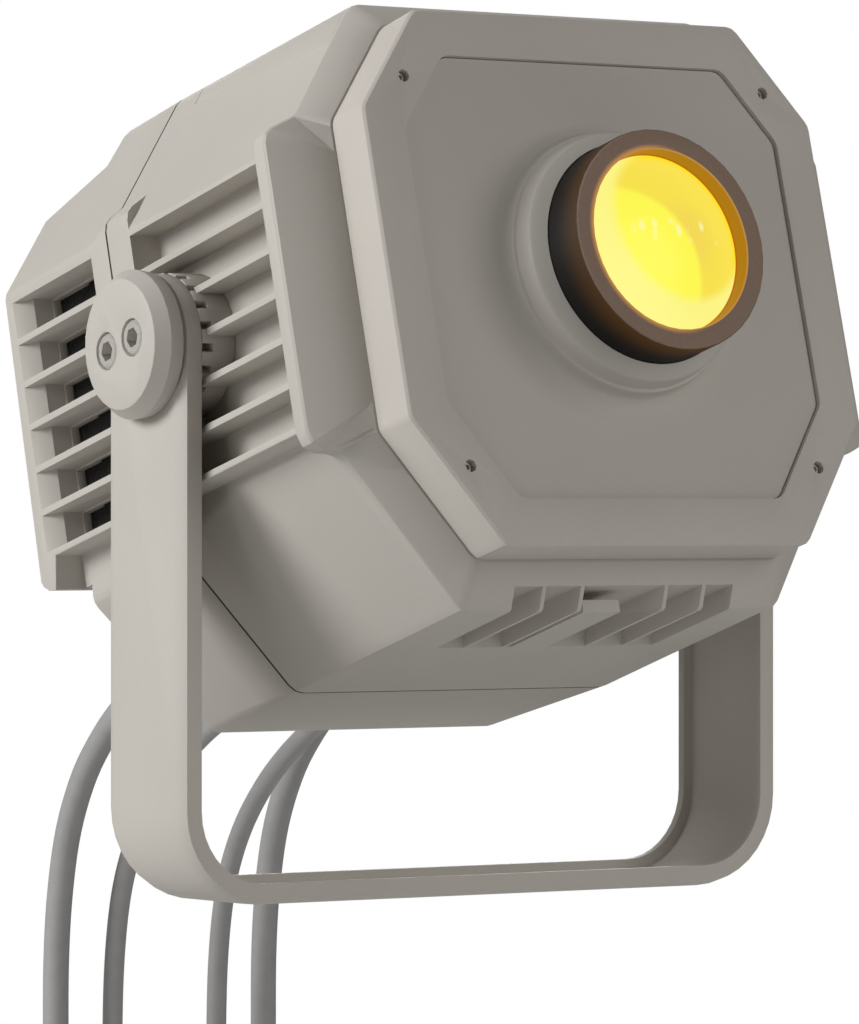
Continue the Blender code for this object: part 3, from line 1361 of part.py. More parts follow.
def intake_mesh(head, side, name):
    """Filter pad against the inside of the air windows."""
    outer = REAR_POCKET_FLOOR - WALL - GAP
    inner = outer - MESH_THICKNESS
    bottom = FIN_TOP - FIN_PITCH * (FIN_COUNT - 1) + MESH_MARGIN
    low = (min(side * outer, side * inner), REAR_POCKET_FRONT - MESH_FRONT_MARGIN, bottom)
    high = (max(side * outer, side * inner), REAR_POCKET_REAR - REAR_POCKET_EASE - MESH_REAR_MARGIN, FIN_TOP - MESH_MARGIN)
    return dress(box(name, low, high), "black_plastic", head)


# Cable entries and cables


def gland(head, name, x, z, thread, cable, length):
    """Threaded entry with a hexagon flange and a domed nut, open for its cable."""
    flange = thread * 1.25
    neck = length * 0.42
    made = lathe(name, [
        (cable / 2 + GAP, -WALL),
        (thread, -WALL),
        (thread, GAP),
        (flange, GAP),
        (flange, neck),
        (flange * 0.92, length * 0.72),
        (flange * 0.72, length - GAP),
        (cable / 2 + GAP, length - GAP),
    ], "Y", TINY_ROUND)
    fuse(made, hexagon("nut", 2.1 * flange, 2 * GAP, neck * 0.8))
    return dress(on_rear_face(made, x, z), "black_plastic", head)


def pressure_vent(head):
    radius = VENT_PLUG_RADIUS
    made = lathe("pressure_vent", [
        (0.0, -WALL),
        (radius * 0.7, -WALL),
        (radius * 0.7, GAP),
        (radius, GAP),
        (radius, VENT_PLUG_RISE - VENT_PLUG_EDGE),
        (radius * 0.85, VENT_PLUG_RISE),
        (0.0, VENT_PLUG_RISE),
    ], "Y", TINY_ROUND)
    return dress(on_rear_face(made, 0.0, VENT_PLUG_Z), "black_plastic", head)


def gland_mouth(z, length):
    """World Y and Z of a gland's mouth, and its direction, in the rest pose."""
    lean = math.atan(REAR_LEAN)
    y = rear_face(z) + length * math.cos(lean)
    high = z + length * math.sin(lean)
    turn = lean - TILT
    mouth = Vector((y * math.cos(TILT) + high * math.sin(TILT), -y * math.sin(TILT) + high * math.cos(TILT)))
    mouth.y += PIVOT_HEIGHT
    return mouth, Vector((math.cos(turn), math.sin(turn)))


def smooth_route(points, step):
    """Evenly spaced points on one smooth curve through the route's points."""
    dense = []
    count = len(points)
    for i in range(count - 1):
        before = points[max(i - 1, 0)]
        here = points[i]
        after = points[i + 1]
        beyond = points[min(i + 2, count - 1)]
        for k in range(12):
            t = k / 12
            dense.append(0.5 * ((2 * here) + (after - before) * t
                                + (2 * before - 5 * here + 4 * after - beyond) * t * t
                                + (3 * here - before - 3 * after + beyond) * t * t * t))
    dense.append(points[-1])
    total = sum((b - a).length for a, b in zip(dense, dense[1:]))
    steps = max(4, round(total / step))
    even = [dense[0]]
    walked = 0.0
    for a, b in zip(dense, dense[1:]):
        length = (b - a).length
        while len(even) < steps and walked + length >= total * len(even) / steps:
            need = total * len(even) / steps - walked
            even.append(a.lerp(b, need / length))
        walked += length
    even.append(dense[-1])
    return even


def cable_points(x, z, length, cable, route):
    mouth, direction = gland_mouth(z, length)
    flat = [mouth, mouth + direction * cable] + [Vector(p) for p in route]
    return [Vector((x, p.x, p.y)) for p in flat]


def cable(name, points, diameter):
    curve = bpy.data.curves.new(name, "CURVE")
    curve.dimensions = "3D"
    curve.bevel_depth = diameter / 2
    curve.bevel_resolution = 2
    curve.use_fill_caps = True
    even = smooth_route(points, 2.2 * diameter)
    spline = curve.splines.new("POLY")
    spline.points.add(len(even) - 1)
    for place, point in zip(spline.points, even):
        place.co = (*point, 1.0)
    made = new_object(name, curve)
    return dress(made, "grey_cable")


def connector(name, top, radius, length):
    """Sealed in-line connector hanging at a cable's end: back nut, grip body and coupling ring."""
    made = lathe(name, [
        (0.0, 0.0),
        (radius * 0.62, 0.0),
        (radius * 0.78, -length * 0.08),
        (radius * 0.78, -length * 0.28),
        (radius * 0.90, -length * 0.32),
        (radius * 0.90, -length * 0.62),
        (radius, -length * 0.64),
        (radius, -length),
        (radius * 0.80, -length),
        (radius * 0.80, -length * 0.80),
        (0.0, -length * 0.80),
    ], "Z", TINY_ROUND)
    return dress(made, "black_plastic", None, top)


def cables():
    for name, x, z, thread, diameter, length in gland_places():
        kind = name.replace("gland", "cable")
        mains = diameter == MAINS_CABLE
        route = MAINS_ROUTE if mains else DATA_ROUTE
        radius, long = MAINS_CONNECTOR if mains else DATA_CONNECTOR
        points = cable_points(x, z, length, diameter, route)
        cable(kind, points, diameter)
        end = points[-1]
        connector(name.replace("gland", "connector"), (end.x, end.y, end.z - GAP), radius, long)


# Yoke


def yoke_section(outer, inner, depth, chamfer_depth, chamfer_drop):
    """Section as (distance from the outer face, y)."""
    half = depth / 2
    return [
        (outer + chamfer_drop, -half),
        (outer, -half + chamfer_depth),
        (outer, half - chamfer_depth),
        (outer + chamfer_drop, half),
        (inner, half),
        (inner, -half),
    ]


def yoke_path(arm_top, steps=9):
    """Stations down the left arm, round the corners and up the right: place and inward direction."""
    radius = YOKE_CORNER_RADIUS
    left = -YOKE_HALF_WIDTH
    stations = [((left, arm_top), (1.0, 0.0))]
    for k in range(steps + 1):
        turn = math.pi / 2 * k / steps
        inward = (math.cos(turn), math.sin(turn))
        stations.append(((left + radius * (1 - inward[0]), radius * (1 - inward[1])), inward))
    for (x, z), (nx, nz) in list(reversed(stations)):
        stations.append(((-x, z), (-nx, nz)))
    return stations


def sweep(name, section, stations):
    rings = []
    for (x, z), (nx, nz) in stations:
        rings.append([(x + nx * away, y, z + nz * away) for away, y in section])
    return loft(name, rings)


def arm_end(side):
    """Round end of an arm about the tilt axis, with the arm's own chamfer."""
    radius = YOKE_DEPTH / 2
    outer = side * YOKE_HALF_WIDTH
    inner = side * INNER_ARM
    made = lathe("arm_end", [
        (0.0, outer),
        (radius - YOKE_CHAMFER_DEPTH, outer),
        (radius, outer - side * YOKE_CHAMFER_DROP),
        (radius, inner),
        (0.0, inner),
    ], "X", ROUND)
    return shift(made, 0.0, 0.0, PIVOT_HEIGHT)


def yoke_bracket():
    section = yoke_section(0.0, YOKE_THICKNESS, YOKE_DEPTH, YOKE_CHAMFER_DEPTH, YOKE_CHAMFER_DROP)
    made = sweep("yoke_bracket", section, yoke_path(PIVOT_HEIGHT))
    fuse(made, arm_end(-1), arm_end(1))
    half = YOKE_DEPTH / 2 - YOKE_RIM
    shallow = YOKE_THICKNESS - YOKE_CHANNEL_DEPTH
    channel = [(shallow, -half), (shallow, half), (3 * YOKE_THICKNESS, half), (3 * YOKE_THICKNESS, -half)]
    cut(made, sweep("channel", channel, yoke_path(PIVOT_HEIGHT - YOKE_CHANNEL_TOP)))
    for side in (-1, 1):
        for along in YOKE_HOLES_AT:
            boss = cylinder("boss", YOKE_BOSS_RADIUS, shallow / 2, shallow + YOKE_BOSS_RISE, "Z", SMALL_ROUND)
            fuse(made, shift(boss, side * along, 0.0, 0.0))
            hole = cylinder("hole", YOKE_HOLE_RADIUS, -YOKE_THICKNESS, 2 * YOKE_THICKNESS, "Z", TINY_ROUND)
            cut(made, shift(hole, side * along, 0.0, 0.0))
        bore = cylinder("bore", SPIGOT_RADIUS + RUNNING_GAP, side * INNER_ARM / 2, side * 2 * YOKE_HALF_WIDTH, "X", ROUND)
        cut(made, shift(bore, 0.0, 0.0, PIVOT_HEIGHT))
    return dress(made, "powder_coat")


def main():
    clear_scene()
    head = empty("head_axis", (0.0, 0.0, PIVOT_HEIGHT), -TILT)
    yoke_bracket()
    for make in (front_housing, rear_cover, seam_gasket, service_cover, front_bezel, bezel_gasket, bezel_screws,
                 front_panel, lens_barrel, barrel_seal, lens_glass, lens_ring, optics_chassis,
                 guide_rods, focus_carriage, focus_lens, focus_actuator, gobo_wheel, gobos, gobo_motor,
                 condenser_holder, condenser_lens, led_board, heat_sink, fan_housing, fan_rotor, driver_board,
                 power_supply, pressure_vent):
        make(head)
    for side, word in ((-1, "left"), (1, "right")):
        tilt_hub(head, side, "tilt_hub_" + word)
        clamp_disc(head, side, "clamp_disc_" + word)
        clamp_screws(head, side, "clamp_screw_" + word)
        intake_mesh(head, side, "intake_mesh_" + word)
    for place in gland_places():
        gland(head, *place)
    cables()


main()
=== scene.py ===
import json
import math

import bmesh
import bpy
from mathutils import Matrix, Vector


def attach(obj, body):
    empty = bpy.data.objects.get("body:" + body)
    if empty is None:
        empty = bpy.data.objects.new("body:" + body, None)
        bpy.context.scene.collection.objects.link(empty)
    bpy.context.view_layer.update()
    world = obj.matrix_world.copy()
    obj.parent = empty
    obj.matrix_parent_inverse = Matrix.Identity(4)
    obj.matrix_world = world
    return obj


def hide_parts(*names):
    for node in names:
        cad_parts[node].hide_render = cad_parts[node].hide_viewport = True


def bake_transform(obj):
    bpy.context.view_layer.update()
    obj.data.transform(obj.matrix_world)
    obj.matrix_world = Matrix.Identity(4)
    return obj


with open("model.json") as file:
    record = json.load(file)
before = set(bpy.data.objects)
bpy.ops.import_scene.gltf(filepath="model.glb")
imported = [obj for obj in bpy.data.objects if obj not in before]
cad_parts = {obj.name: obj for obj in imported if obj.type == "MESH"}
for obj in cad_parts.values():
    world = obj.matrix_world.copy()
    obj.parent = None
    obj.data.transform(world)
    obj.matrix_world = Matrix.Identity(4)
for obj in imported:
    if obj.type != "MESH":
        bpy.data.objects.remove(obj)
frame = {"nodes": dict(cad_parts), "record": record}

NODES = frame["nodes"]

# The head's own frame: it leans back by TILT about the tilt axis, and its -Y is the lens axis
TILT = math.radians(15.0)
PIVOT = Vector((0.0, 0.0, 0.2467))

# Joint between the two castings, along the head's Y, and the dark line on it: full and faded width
SEAM = 0.037
SEAM_LINE = (0.0004, 0.0009)

# The head's leaning rear face: its Y at the roof's height, and how much Y grows for each metre down
REAR_AT_ROOF = 0.083
REAR_LEAN = 0.1331
ROOF = 0.129

# The front panel's face along the lens axis
PANEL_FACE = -0.1292
PANEL_THICKNESS = 0.004
PANEL_CORNERS_FROM = 0.075
PANEL_EDGE_DROP = 0.0003
PANEL_EDGE_SHARE = 0.9975
PANEL_TURNS = 96
SMALLEST_TURN = 0.004

# The collar on the panel: radius, rise from the face, easing of the corner
COLLAR_FOOT = 0.0675
COLLAR_BORE = 0.0503
COLLAR = ((0.0664, 0.0, 0.0), (0.0640, 0.0004, 0.0020), (0.0608, 0.0024, 0.0026),
          (0.0598, 0.0053, 0.0016), (0.0593, 0.0087, 0.0005), (0.0579, 0.0094, 0.0005),
          (0.0566, 0.0172, 0.0011), (0.0550, 0.0187, 0.0009), (0.0504, 0.0223, 0.0))

# The barrel's look, in the head's frame: where its front ring begins along Y, the radii over which
# the lens's light is painted as a glow spilling on the ring, the X over which that fades, the bore's
# edge, which holds a painted glow, and the Y over which the side takes some painted glow
RING_FROM = (-0.1722, -0.1728)
SPILL_RADII = (0.0452, 0.0405)
SPILL_FADE = (0.022, -0.012)
BORE_GLOW_EDGE = (0.0416, 0.0410)
SIDE_GLOW_FROM = (-0.1560, -0.1735)

# The lens's look, as (X, Z) centres in the head's frame and the radii over which each part fades in
CRESCENT_CENTRE = (0.010, 0.009)
CRESCENT_RADII = (0.0320, 0.0385)
AMBER_CENTRE = (-0.028, -0.018)
AMBER_RADII = (0.0405, 0.0450)
DEEPER_RADII = (0.050, 0.066)
BLOTCH_CENTRE = (0.009, 0.001)
BLOTCH_RADII = (0.022, 0.006)
RIM_RADII = (0.0365, 0.0405)
SEAL_RADII = (0.0402, 0.0407)
# Pale flecks, painted highlights: cells for each metre, and for X and Z the band's middle and the
# distances it fades over
HIGHLIGHT_FLECK_CELLS = (210.0, 1.0, 115.0)
HIGHLIGHT_FLECK_X = (0.006, 0.027, 0.018)
HIGHLIGHT_FLECK_Z = (0.004, 0.0065, 0.0025)

# Softening of the CAD meshes
WELD_DISTANCE = 0.00001
FLAT_ANGLE = math.radians(0.6)
BEVEL_ANGLE = math.radians(32.0)
CREASE = math.radians(24.0)
BEVELS = {
    "yoke_bracket": 0.0006, "front_housing": 0.0003, "rear_cover": 0.0003, "front_bezel": 0.0005,
    "service_cover": 0.0002, "front_panel": 0.0003, "lens_barrel": 0.0002, "clamp_disc_left": 0.0004,
    "clamp_disc_right": 0.0004, "tilt_hub_left": 0.0003, "tilt_hub_right": 0.0003,
}

# The cables: their route's points in Y and Z, as in the model, from just past the gland's mouth on,
# the gland's length, its height in the head's frame, and how far from the middle each cable lies
MAINS = {
    "diameter": 0.0125, "gland": 0.024, "x": 0.060, "z": -0.108,
    "route": ((0.1300, 0.1052), (0.1500, 0.0994), (0.1700, 0.0892), (0.1870, 0.0782),
              (0.2020, 0.0662), (0.2200, 0.0467), (0.2345, 0.0200), (0.2425, -0.0110),
              (0.2460, -0.0440), (0.2465, -0.0840), (0.2465, -0.1240), (0.2465, -0.1550)),
}
DATA = {
    "diameter": 0.0098, "gland": 0.020, "x": 0.030, "z": -0.130,
    "route": ((0.1280, 0.0826), (0.1460, 0.0750), (0.1635, 0.0661), (0.1825, 0.0541),
              (0.2000, 0.0402), (0.2170, 0.0220), (0.2295, 0.0015), (0.2370, -0.0205),
              (0.2415, -0.0500), (0.2430, -0.0850), (0.2430, -0.1150), (0.2430, -0.1400)),
}
SPLINE_STEPS = 12
TUBE_SIDES = 20

# The camera that matches the photograph
CAMERA_PLACE = (-1.5899, -2.2683, 0.1731)
CAMERA_TURN = (math.radians(90.0), 0.0, math.radians(-34.834))
CAMERA_LENS = 213.68
CAMERA_SENSOR = 36.0
CAMERA_CLIP = (0.05, 50.0)

# The studio; each lamp is a round one that looks at the tilt axis: place, size, power, colour
FLOOR_RADIUS = 1.5
FLOOR_HEIGHT = -0.26
WORLD_LIGHT = 0.10
WORLD_SEEN = 1.0
WHITE = (1.0, 1.0, 1.0)
LAMPS = {
    "key": ((-2.7, 0.75, 1.2), 1.5, 75.0, (0.995, 0.997, 1.0)),
    "graze": ((-2.7, -0.75, 0.35), 1.2, 5.0, (0.995, 0.997, 1.0)),
    "front": ((1.0, -2.7, 1.15), 2.0, 30.0, (1.0, 0.985, 0.96)),
    "top": ((-0.3, 0.6, 2.4), 1.6, 9.0, WHITE),
    "rear": ((1.6, 2.4, 1.3), 1.8, 30.0, WHITE),
}


# Materials


def srgb(red, green, blue):
    """A colour given as 0 to 255, in the renderer's linear values."""
    def linear(value):
        share = value / 255.0
        return share / 12.92 if share <= 0.04045 else ((share + 0.055) / 1.055) ** 2.4
    return (linear(red), linear(green), linear(blue), 1.0)


class Nodes:
    """Short names for building a node material."""

    def __init__(self, name):
        self.material = bpy.data.materials.new(name)
        self.material.use_nodes = True
        self.tree = self.material.node_tree
        self.shader = self.tree.nodes["Principled BSDF"]

    def add(self, kind, **settings):
        node = self.tree.nodes.new(kind)
        for key, value in settings.items():
            setattr(node, key, value)
        return node

    def put(self, socket, value):
        if isinstance(value, bpy.types.NodeSocket):
            self.tree.links.new(value, socket)
        else:
            socket.default_value = value

    def set(self, **values):
        """Fills the shader's sockets: a plain value stays on the socket, a node's output is linked."""
        for key, value in values.items():
            self.put(self.shader.inputs[key.replace("_", " ")], value)

    def math(self, operation, *values):
        node = self.add("ShaderNodeMath", operation=operation)
        for k, value in enumerate(values):
            self.put(node.inputs[k], value)
        return node.outputs[0]

    def times(self, first, second):
        return self.math("MULTIPLY", first, second)

    def gap(self, value, middle):
        return self.math("ABSOLUTE", self.math("SUBTRACT", value, middle))

    def away(self, x, z, centre=(0.0, 0.0)):
        """Distance from a centre in the plane across the lens axis."""
        dx = self.math("SUBTRACT", x, centre[0])
        dz = self.math("SUBTRACT", z, centre[1])
        return self.math("SQRT", self.math("ADD", self.times(dx, dx), self.times(dz, dz)))

    def step(self, value, low, high, out_low=0.0, out_high=1.0):
        node = self.add("ShaderNodeMapRange", interpolation_type="SMOOTHSTEP", clamp=True)
        for key, number in (("Value", value), ("From Min", low), ("From Max", high),
                            ("To Min", out_low), ("To Max", out_high)):
            self.put(node.inputs[key], number)
        return node.outputs["Result"]

    def mix(self, share, first, second):
        node = self.add("ShaderNodeMix", data_type="RGBA")
        for key, value in (("Factor", share), ("A", first), ("B", second)):
            self.put(node.inputs[key], value)
        return node.outputs["Result"]

    def object_place(self):
        return self.add("ShaderNodeTexCoord").outputs["Object"]

    def head_place(self):
        """Coordinates in the head's own frame."""
        mapping = self.add("ShaderNodeMapping", vector_type="TEXTURE")
        self.put(mapping.inputs["Vector"], self.object_place())
        mapping.inputs["Location"].default_value = PIVOT
        mapping.inputs["Rotation"].default_value = (-TILT, 0.0, 0.0)
        return mapping.outputs["Vector"]

    def split(self, vector):
        node = self.add("ShaderNodeSeparateXYZ")
        self.put(node.inputs[0], vector)
        return node.outputs["X"], node.outputs["Y"], node.outputs["Z"]

    def noise(self, place, scale, detail=2.0):
        node = self.add("ShaderNodeTexNoise")
        for key, value in (("Vector", place), ("Scale", scale), ("Detail", detail), ("Roughness", 0.5)):
            self.put(node.inputs[key], value)
        return node.outputs["Fac"]

    def cells(self, place, scale, distance="EUCLIDEAN"):
        node = self.add("ShaderNodeTexVoronoi", feature="F1", distance=distance)
        self.put(node.inputs["Vector"], place)
        self.put(node.inputs["Scale"], scale)
        return node.outputs["Distance"]

    def bump(self, height, distance, strength=1.0):
        node = self.add("ShaderNodeBump")
        for key, value in (("Height", height), ("Distance", distance), ("Strength", strength)):
            self.put(node.inputs[key], value)
        self.put(self.shader.inputs["Normal"], node.outputs["Normal"])


def powder_coat(name="powder_coat", tone=(186, 181, 173), seam=False):
    """Fine-textured coat; on the two castings the joint between them holds a dark line."""
    made = Nodes(name)
    place = made.object_place()
    broad = made.noise(place, 9.0, 3.0)
    fine = made.noise(place, 850.0)
    grain = made.noise(place, 2600.0, 1.0)
    lighter = srgb(*[value + 4 for value in tone])
    darker = srgb(*[value - 10 for value in tone])
    colour = made.mix(made.step(broad, 0.3, 0.7), srgb(*tone), lighter)
    colour = made.mix(made.step(grain, 0.35, 0.65, 0.0, 0.35), colour, darker)
    if seam:
        from_seam = made.gap(made.split(made.head_place())[1], SEAM)
        line = made.step(from_seam, SEAM_LINE[1], SEAM_LINE[0])
        colour = made.mix(line, colour, srgb(58, 55, 52))
    made.set(Base_Color=colour, Roughness=made.step(fine, 0.2, 0.8, 0.52, 0.62), Metallic=0.0,
             Specular_IOR_Level=0.4)
    made.bump(made.math("ADD", fine, made.times(grain, 0.5)), 0.00006, 0.5)
    return made.material


def plain(name, colour, second, roughness, metallic=0.0, scale=600.0, depth=0.00003):
    """A finish with a fine grain: its colour wanders a little between two tones."""
    made = Nodes(name)
    fine = made.noise(made.object_place(), scale, 3.0)
    made.set(Base_Color=made.mix(made.step(fine, 0.3, 0.7), colour, second), Metallic=metallic,
             Roughness=made.step(fine, 0.2, 0.8, roughness - 0.04, roughness + 0.04),
             Specular_IOR_Level=0.5)
    made.bump(fine, depth, 0.5)
    return made.material


def barrel_finish():
    """Black anodised outside, greyer on the front ring, with the lens's light painted on as a glow over
    its lip, its bore's edge and its side.
    """
    made = Nodes("barrel_finish")
    x, y, z = made.split(made.head_place())
    radius = made.away(x, z)
    fine = made.noise(made.object_place(), 1400.0)
    grain = made.step(fine, 0.3, 0.7)
    body = made.mix(grain, srgb(20, 17, 14), srgb(25, 21, 17))
    ring = made.mix(grain, srgb(110, 102, 98), srgb(118, 110, 106))
    # Painted glow: the lens's light on the lip, the bore's edge and the side, laid on as emission
    lip = made.step(radius, *SPILL_RADII)
    spill = made.times(made.times(lip, lip), made.times(made.step(x, *SPILL_FADE), 0.5))
    bore_glow = made.step(radius, *BORE_GLOW_EDGE)
    side = made.times(made.step(y, *SIDE_GLOW_FROM), 0.045)
    strength = made.math("MAXIMUM", made.math("MAXIMUM", spill, side), made.times(bore_glow, 0.85))
    made.set(Base_Color=made.mix(made.step(y, *RING_FROM), body, ring), Roughness=0.6, Metallic=0.0,
             Specular_IOR_Level=0.2, Emission_Strength=strength,
             Emission_Color=made.mix(bore_glow, srgb(255, 168, 34), srgb(184, 126, 18)))
    made.bump(fine, 0.00003, 0.4)
    return made.material


def lens_finish():
    """Lit amber glass: a pale crescent at one side, a clear yellow middle and a softer amber beyond, with
    pale flecks in a band painted on as highlights.
    """
    made = Nodes("lens_finish")
    place = made.head_place()
    x, _, z = made.split(place)
    from_axis = made.away(x, z)
    from_amber = made.away(x, z, AMBER_CENTRE)
    amber = made.step(from_amber, *AMBER_RADII)
    blotch = made.times(made.step(made.away(x, z, BLOTCH_CENTRE), *BLOTCH_RADII), amber)
    rim = made.step(from_axis, *RIM_RADII)
    crescent = made.step(made.away(x, z, CRESCENT_CENTRE), *CRESCENT_RADII)
    seal = made.step(from_axis, *SEAL_RADII)

    # Pale flecks in a band: painted highlights on the glass
    stretch = made.add("ShaderNodeMapping")
    made.put(stretch.inputs["Vector"], place)
    stretch.inputs["Scale"].default_value = HIGHLIGHT_FLECK_CELLS
    highlight_spots = made.step(made.cells(stretch.outputs["Vector"], 1.0), 0.40, 0.20)
    highlight_band = made.times(made.step(made.gap(z, HIGHLIGHT_FLECK_Z[0]), *HIGHLIGHT_FLECK_Z[1:]),
                      made.step(made.gap(x, HIGHLIGHT_FLECK_X[0]), *HIGHLIGHT_FLECK_X[1:]))

    warm = made.mix(made.step(from_amber, *DEEPER_RADII), srgb(248, 226, 78), srgb(250, 228, 84))
    warm = made.mix(made.times(blotch, 0.75), warm, srgb(243, 215, 88))
    warm = made.mix(made.times(rim, 0.85), warm, srgb(255, 226, 10))
    colour = made.mix(amber, srgb(254, 249, 82), warm)
    colour = made.mix(crescent, colour, srgb(252, 246, 134))
    colour = made.mix(seal, colour, srgb(184, 92, 6))
    # The flecks lay painted highlights over the lens's colour
    colour = made.mix(made.times(made.times(highlight_spots, highlight_band), 0.6), colour, srgb(255, 250, 190))
    made.set(Base_Color=srgb(60, 44, 4), Roughness=0.28, Metallic=0.0, Specular_IOR_Level=0.2,
             Emission_Color=colour, Emission_Strength=0.97)
    return made.material


def cable_finish():
    """Grey jacket, a little uneven from the drawing."""
    made = Nodes("cable_finish")
    place = made.object_place()
    drawn = made.step(made.noise(place, 120.0, 3.0), 0.3, 0.7)
    made.set(Base_Color=made.mix(drawn, srgb(152, 151, 150), srgb(156, 155, 154)), Roughness=0.5,
             Metallic=0.0, Specular_IOR_Level=0.4)
    made.bump(made.noise(place, 900.0), 0.00004, 0.4)
    return made.material


def board_finish():
    """Green solder mask with pads."""
    made = Nodes("board_finish")
    pads = made.step(made.cells(made.object_place(), 160.0, "CHEBYCHEV"), 0.22, 0.16)
    made.set(Base_Color=made.mix(pads, srgb(12, 82, 42), srgb(190, 170, 110)), Roughness=0.4,
             Metallic=0.0)
    made.bump(pads, 0.00008, 0.4)
    return made.material


def mesh_finish():
    """Black foam pad with open cells."""
    made = Nodes("mesh_finish")
    hollow = made.step(made.cells(made.object_place(), 520.0), 0.5, 0.2)
    made.set(Base_Color=made.mix(hollow, srgb(26, 25, 24), srgb(8, 8, 8)), Roughness=0.85,
             Metallic=0.0)
    made.bump(hollow, 0.0004, 0.6)
    return made.material


def glass_finish():
    """Clear glass with a faint green cast."""
    made = Nodes("glass_finish")
    faint = made.noise(made.object_place(), 40.0)
    made.set(Base_Color=made.mix(faint, srgb(228, 240, 236), srgb(236, 246, 243)), Roughness=0.04,
             Metallic=0.0, Transmission_Weight=0.9, IOR=1.5)
    return made.material


def finishes():
    """One material for each slot of the record."""
    return {
        "powder_coat": powder_coat(),
        "black_anodised": plain("black_anodised", srgb(34, 32, 31), srgb(42, 40, 38), 0.45, 0.3, 900.0),
        "stainless": plain("stainless", srgb(186, 182, 176), srgb(200, 196, 190), 0.38, 0.35, 700.0),
        "aluminium": plain("aluminium", srgb(182, 183, 184), srgb(196, 197, 198), 0.38, 0.9, 500.0),
        "rubber": plain("rubber", srgb(30, 29, 28), srgb(38, 37, 36), 0.75),
        "black_plastic": plain("black_plastic", srgb(34, 33, 32), srgb(42, 41, 40), 0.5,
                               scale=1200.0, depth=0.00005),
        "grey_cable": cable_finish(),
        "clear_glass": glass_finish(),
        "amber_glass": lens_finish(),
        "circuit_board": board_finish(),
        "led_face": plain("led_face", srgb(240, 214, 80), srgb(250, 226, 96), 0.4),
    }


# Meshes


def paint(obj, material):
    obj.data.materials.clear()
    obj.data.materials.append(material)


def smooth_group():
    """Shades a surface smooth except at its creases."""
    group = bpy.data.node_groups.new("smooth_by_angle", "GeometryNodeTree")
    for in_out in ("INPUT", "OUTPUT"):
        group.interface.new_socket("Geometry", in_out=in_out, socket_type="NodeSocketGeometry")
    nodes = group.nodes
    links = group.links
    start = nodes.new("NodeGroupInput")
    end = nodes.new("NodeGroupOutput")
    drop = nodes.new("GeometryNodeRemoveAttribute")
    drop.inputs["Name"].default_value = "custom_normal"
    angle = nodes.new("GeometryNodeInputMeshEdgeAngle")
    compare = nodes.new("FunctionNodeCompare")
    compare.data_type = "FLOAT"
    compare.operation = "LESS_EQUAL"
    compare.inputs["B"].default_value = CREASE
    faces = nodes.new("GeometryNodeSetShadeSmooth")
    faces.domain = "FACE"
    edges = nodes.new("GeometryNodeSetShadeSmooth")
    edges.domain = "EDGE"
    links.new(start.outputs[0], drop.inputs["Geometry"])
    links.new(drop.outputs["Geometry"], faces.inputs["Geometry"])
    links.new(faces.outputs["Geometry"], edges.inputs["Geometry"])
    links.new(angle.outputs["Unsigned Angle"], compare.inputs["A"])
    links.new(compare.outputs["Result"], edges.inputs["Shade Smooth"])
    links.new(edges.outputs["Geometry"], end.inputs[0])
    return group


def shade(obj, group):
    obj.modifiers.new("smooth", "NODES").node_group = group


def soften(obj, group):
    """Joins a CAD mesh's flat faces, rounds its edges where BEVELS gives a width, and shades it."""
    obj.modifiers.new("weld", "WELD").merge_threshold = WELD_DISTANCE
    flat = obj.modifiers.new("flat", "DECIMATE")
    flat.decimate_type = "DISSOLVE"
    flat.angle_limit = FLAT_ANGLE
    if obj.name in BEVELS:
        bevel = obj.modifiers.new("bevel", "BEVEL")
        bevel.width = BEVELS[obj.name]
        bevel.segments = 2
        bevel.limit_method = "ANGLE"
        bevel.angle_limit = BEVEL_ANGLE
        bevel.harden_normals = False
        bevel.use_clamp_overlap = True
    shade(obj, group)


def dress_frame():
    """Gives every CAD node its material and softened edges."""
    looks = finishes()
    casting = powder_coat("casting_coat", seam=True)
    intake = mesh_finish()
    special = {"front_housing": casting, "rear_cover": casting, "lens_barrel": barrel_finish(),
               # The bezel gets a lighter copy of the same coat: painted light on its faces
               "front_bezel": powder_coat("bezel_coat_painted_lighter", (191, 185, 177)),
               "intake_mesh_left": intake, "intake_mesh_right": intake}
    group = smooth_group()
    slots = {row["node"]: row["material_slot"] for row in frame["record"]["subparts"]}
    for name, obj in NODES.items():
        paint(obj, special.get(name, looks[slots[name]]))
        soften(obj, group)
    front_panel_skin(looks["powder_coat"], group)
    return looks


def join_rings(body, rings):
    """Faces between each ring and the next."""
    for low, high in zip(rings, rings[1:]):
        for k in range(len(low)):
            nxt = (k + 1) % len(low)
            body.faces.new((low[k], low[nxt], high[nxt], high[k]))


def to_object(body, name):
    bmesh.ops.recalc_face_normals(body, faces=body.faces)
    mesh = bpy.data.meshes.new(name)
    body.to_mesh(mesh)
    body.free()
    made = bpy.data.objects.new(name, mesh)
    bpy.context.scene.collection.objects.link(made)
    return made


# Front panel, with its collar turned finer than the solid's


def to_head(point):
    moved = Vector(point) - PIVOT
    return Vector((moved.x, moved.y * math.cos(TILT) - moved.z * math.sin(TILT),
                   moved.y * math.sin(TILT) + moved.z * math.cos(TILT)))


def to_world(x, y, z):
    return PIVOT + Vector((x, y * math.cos(TILT) + z * math.sin(TILT),
                           -y * math.sin(TILT) + z * math.cos(TILT)))


def panel_outline():
    """Corners of the panel's front face as (x, z), in the order of their angle."""
    corners = set()
    for vertex in NODES["front_panel"].data.vertices:
        place = to_head(NODES["front_panel"].matrix_world @ vertex.co)
        if abs(place.y - PANEL_FACE) < 0.0001 and math.hypot(place.x, place.z) > PANEL_CORNERS_FROM:
            corners.add((round(place.x, 6), round(place.z, 6)))
    return sorted(corners, key=lambda corner: math.atan2(corner[1], corner[0]))


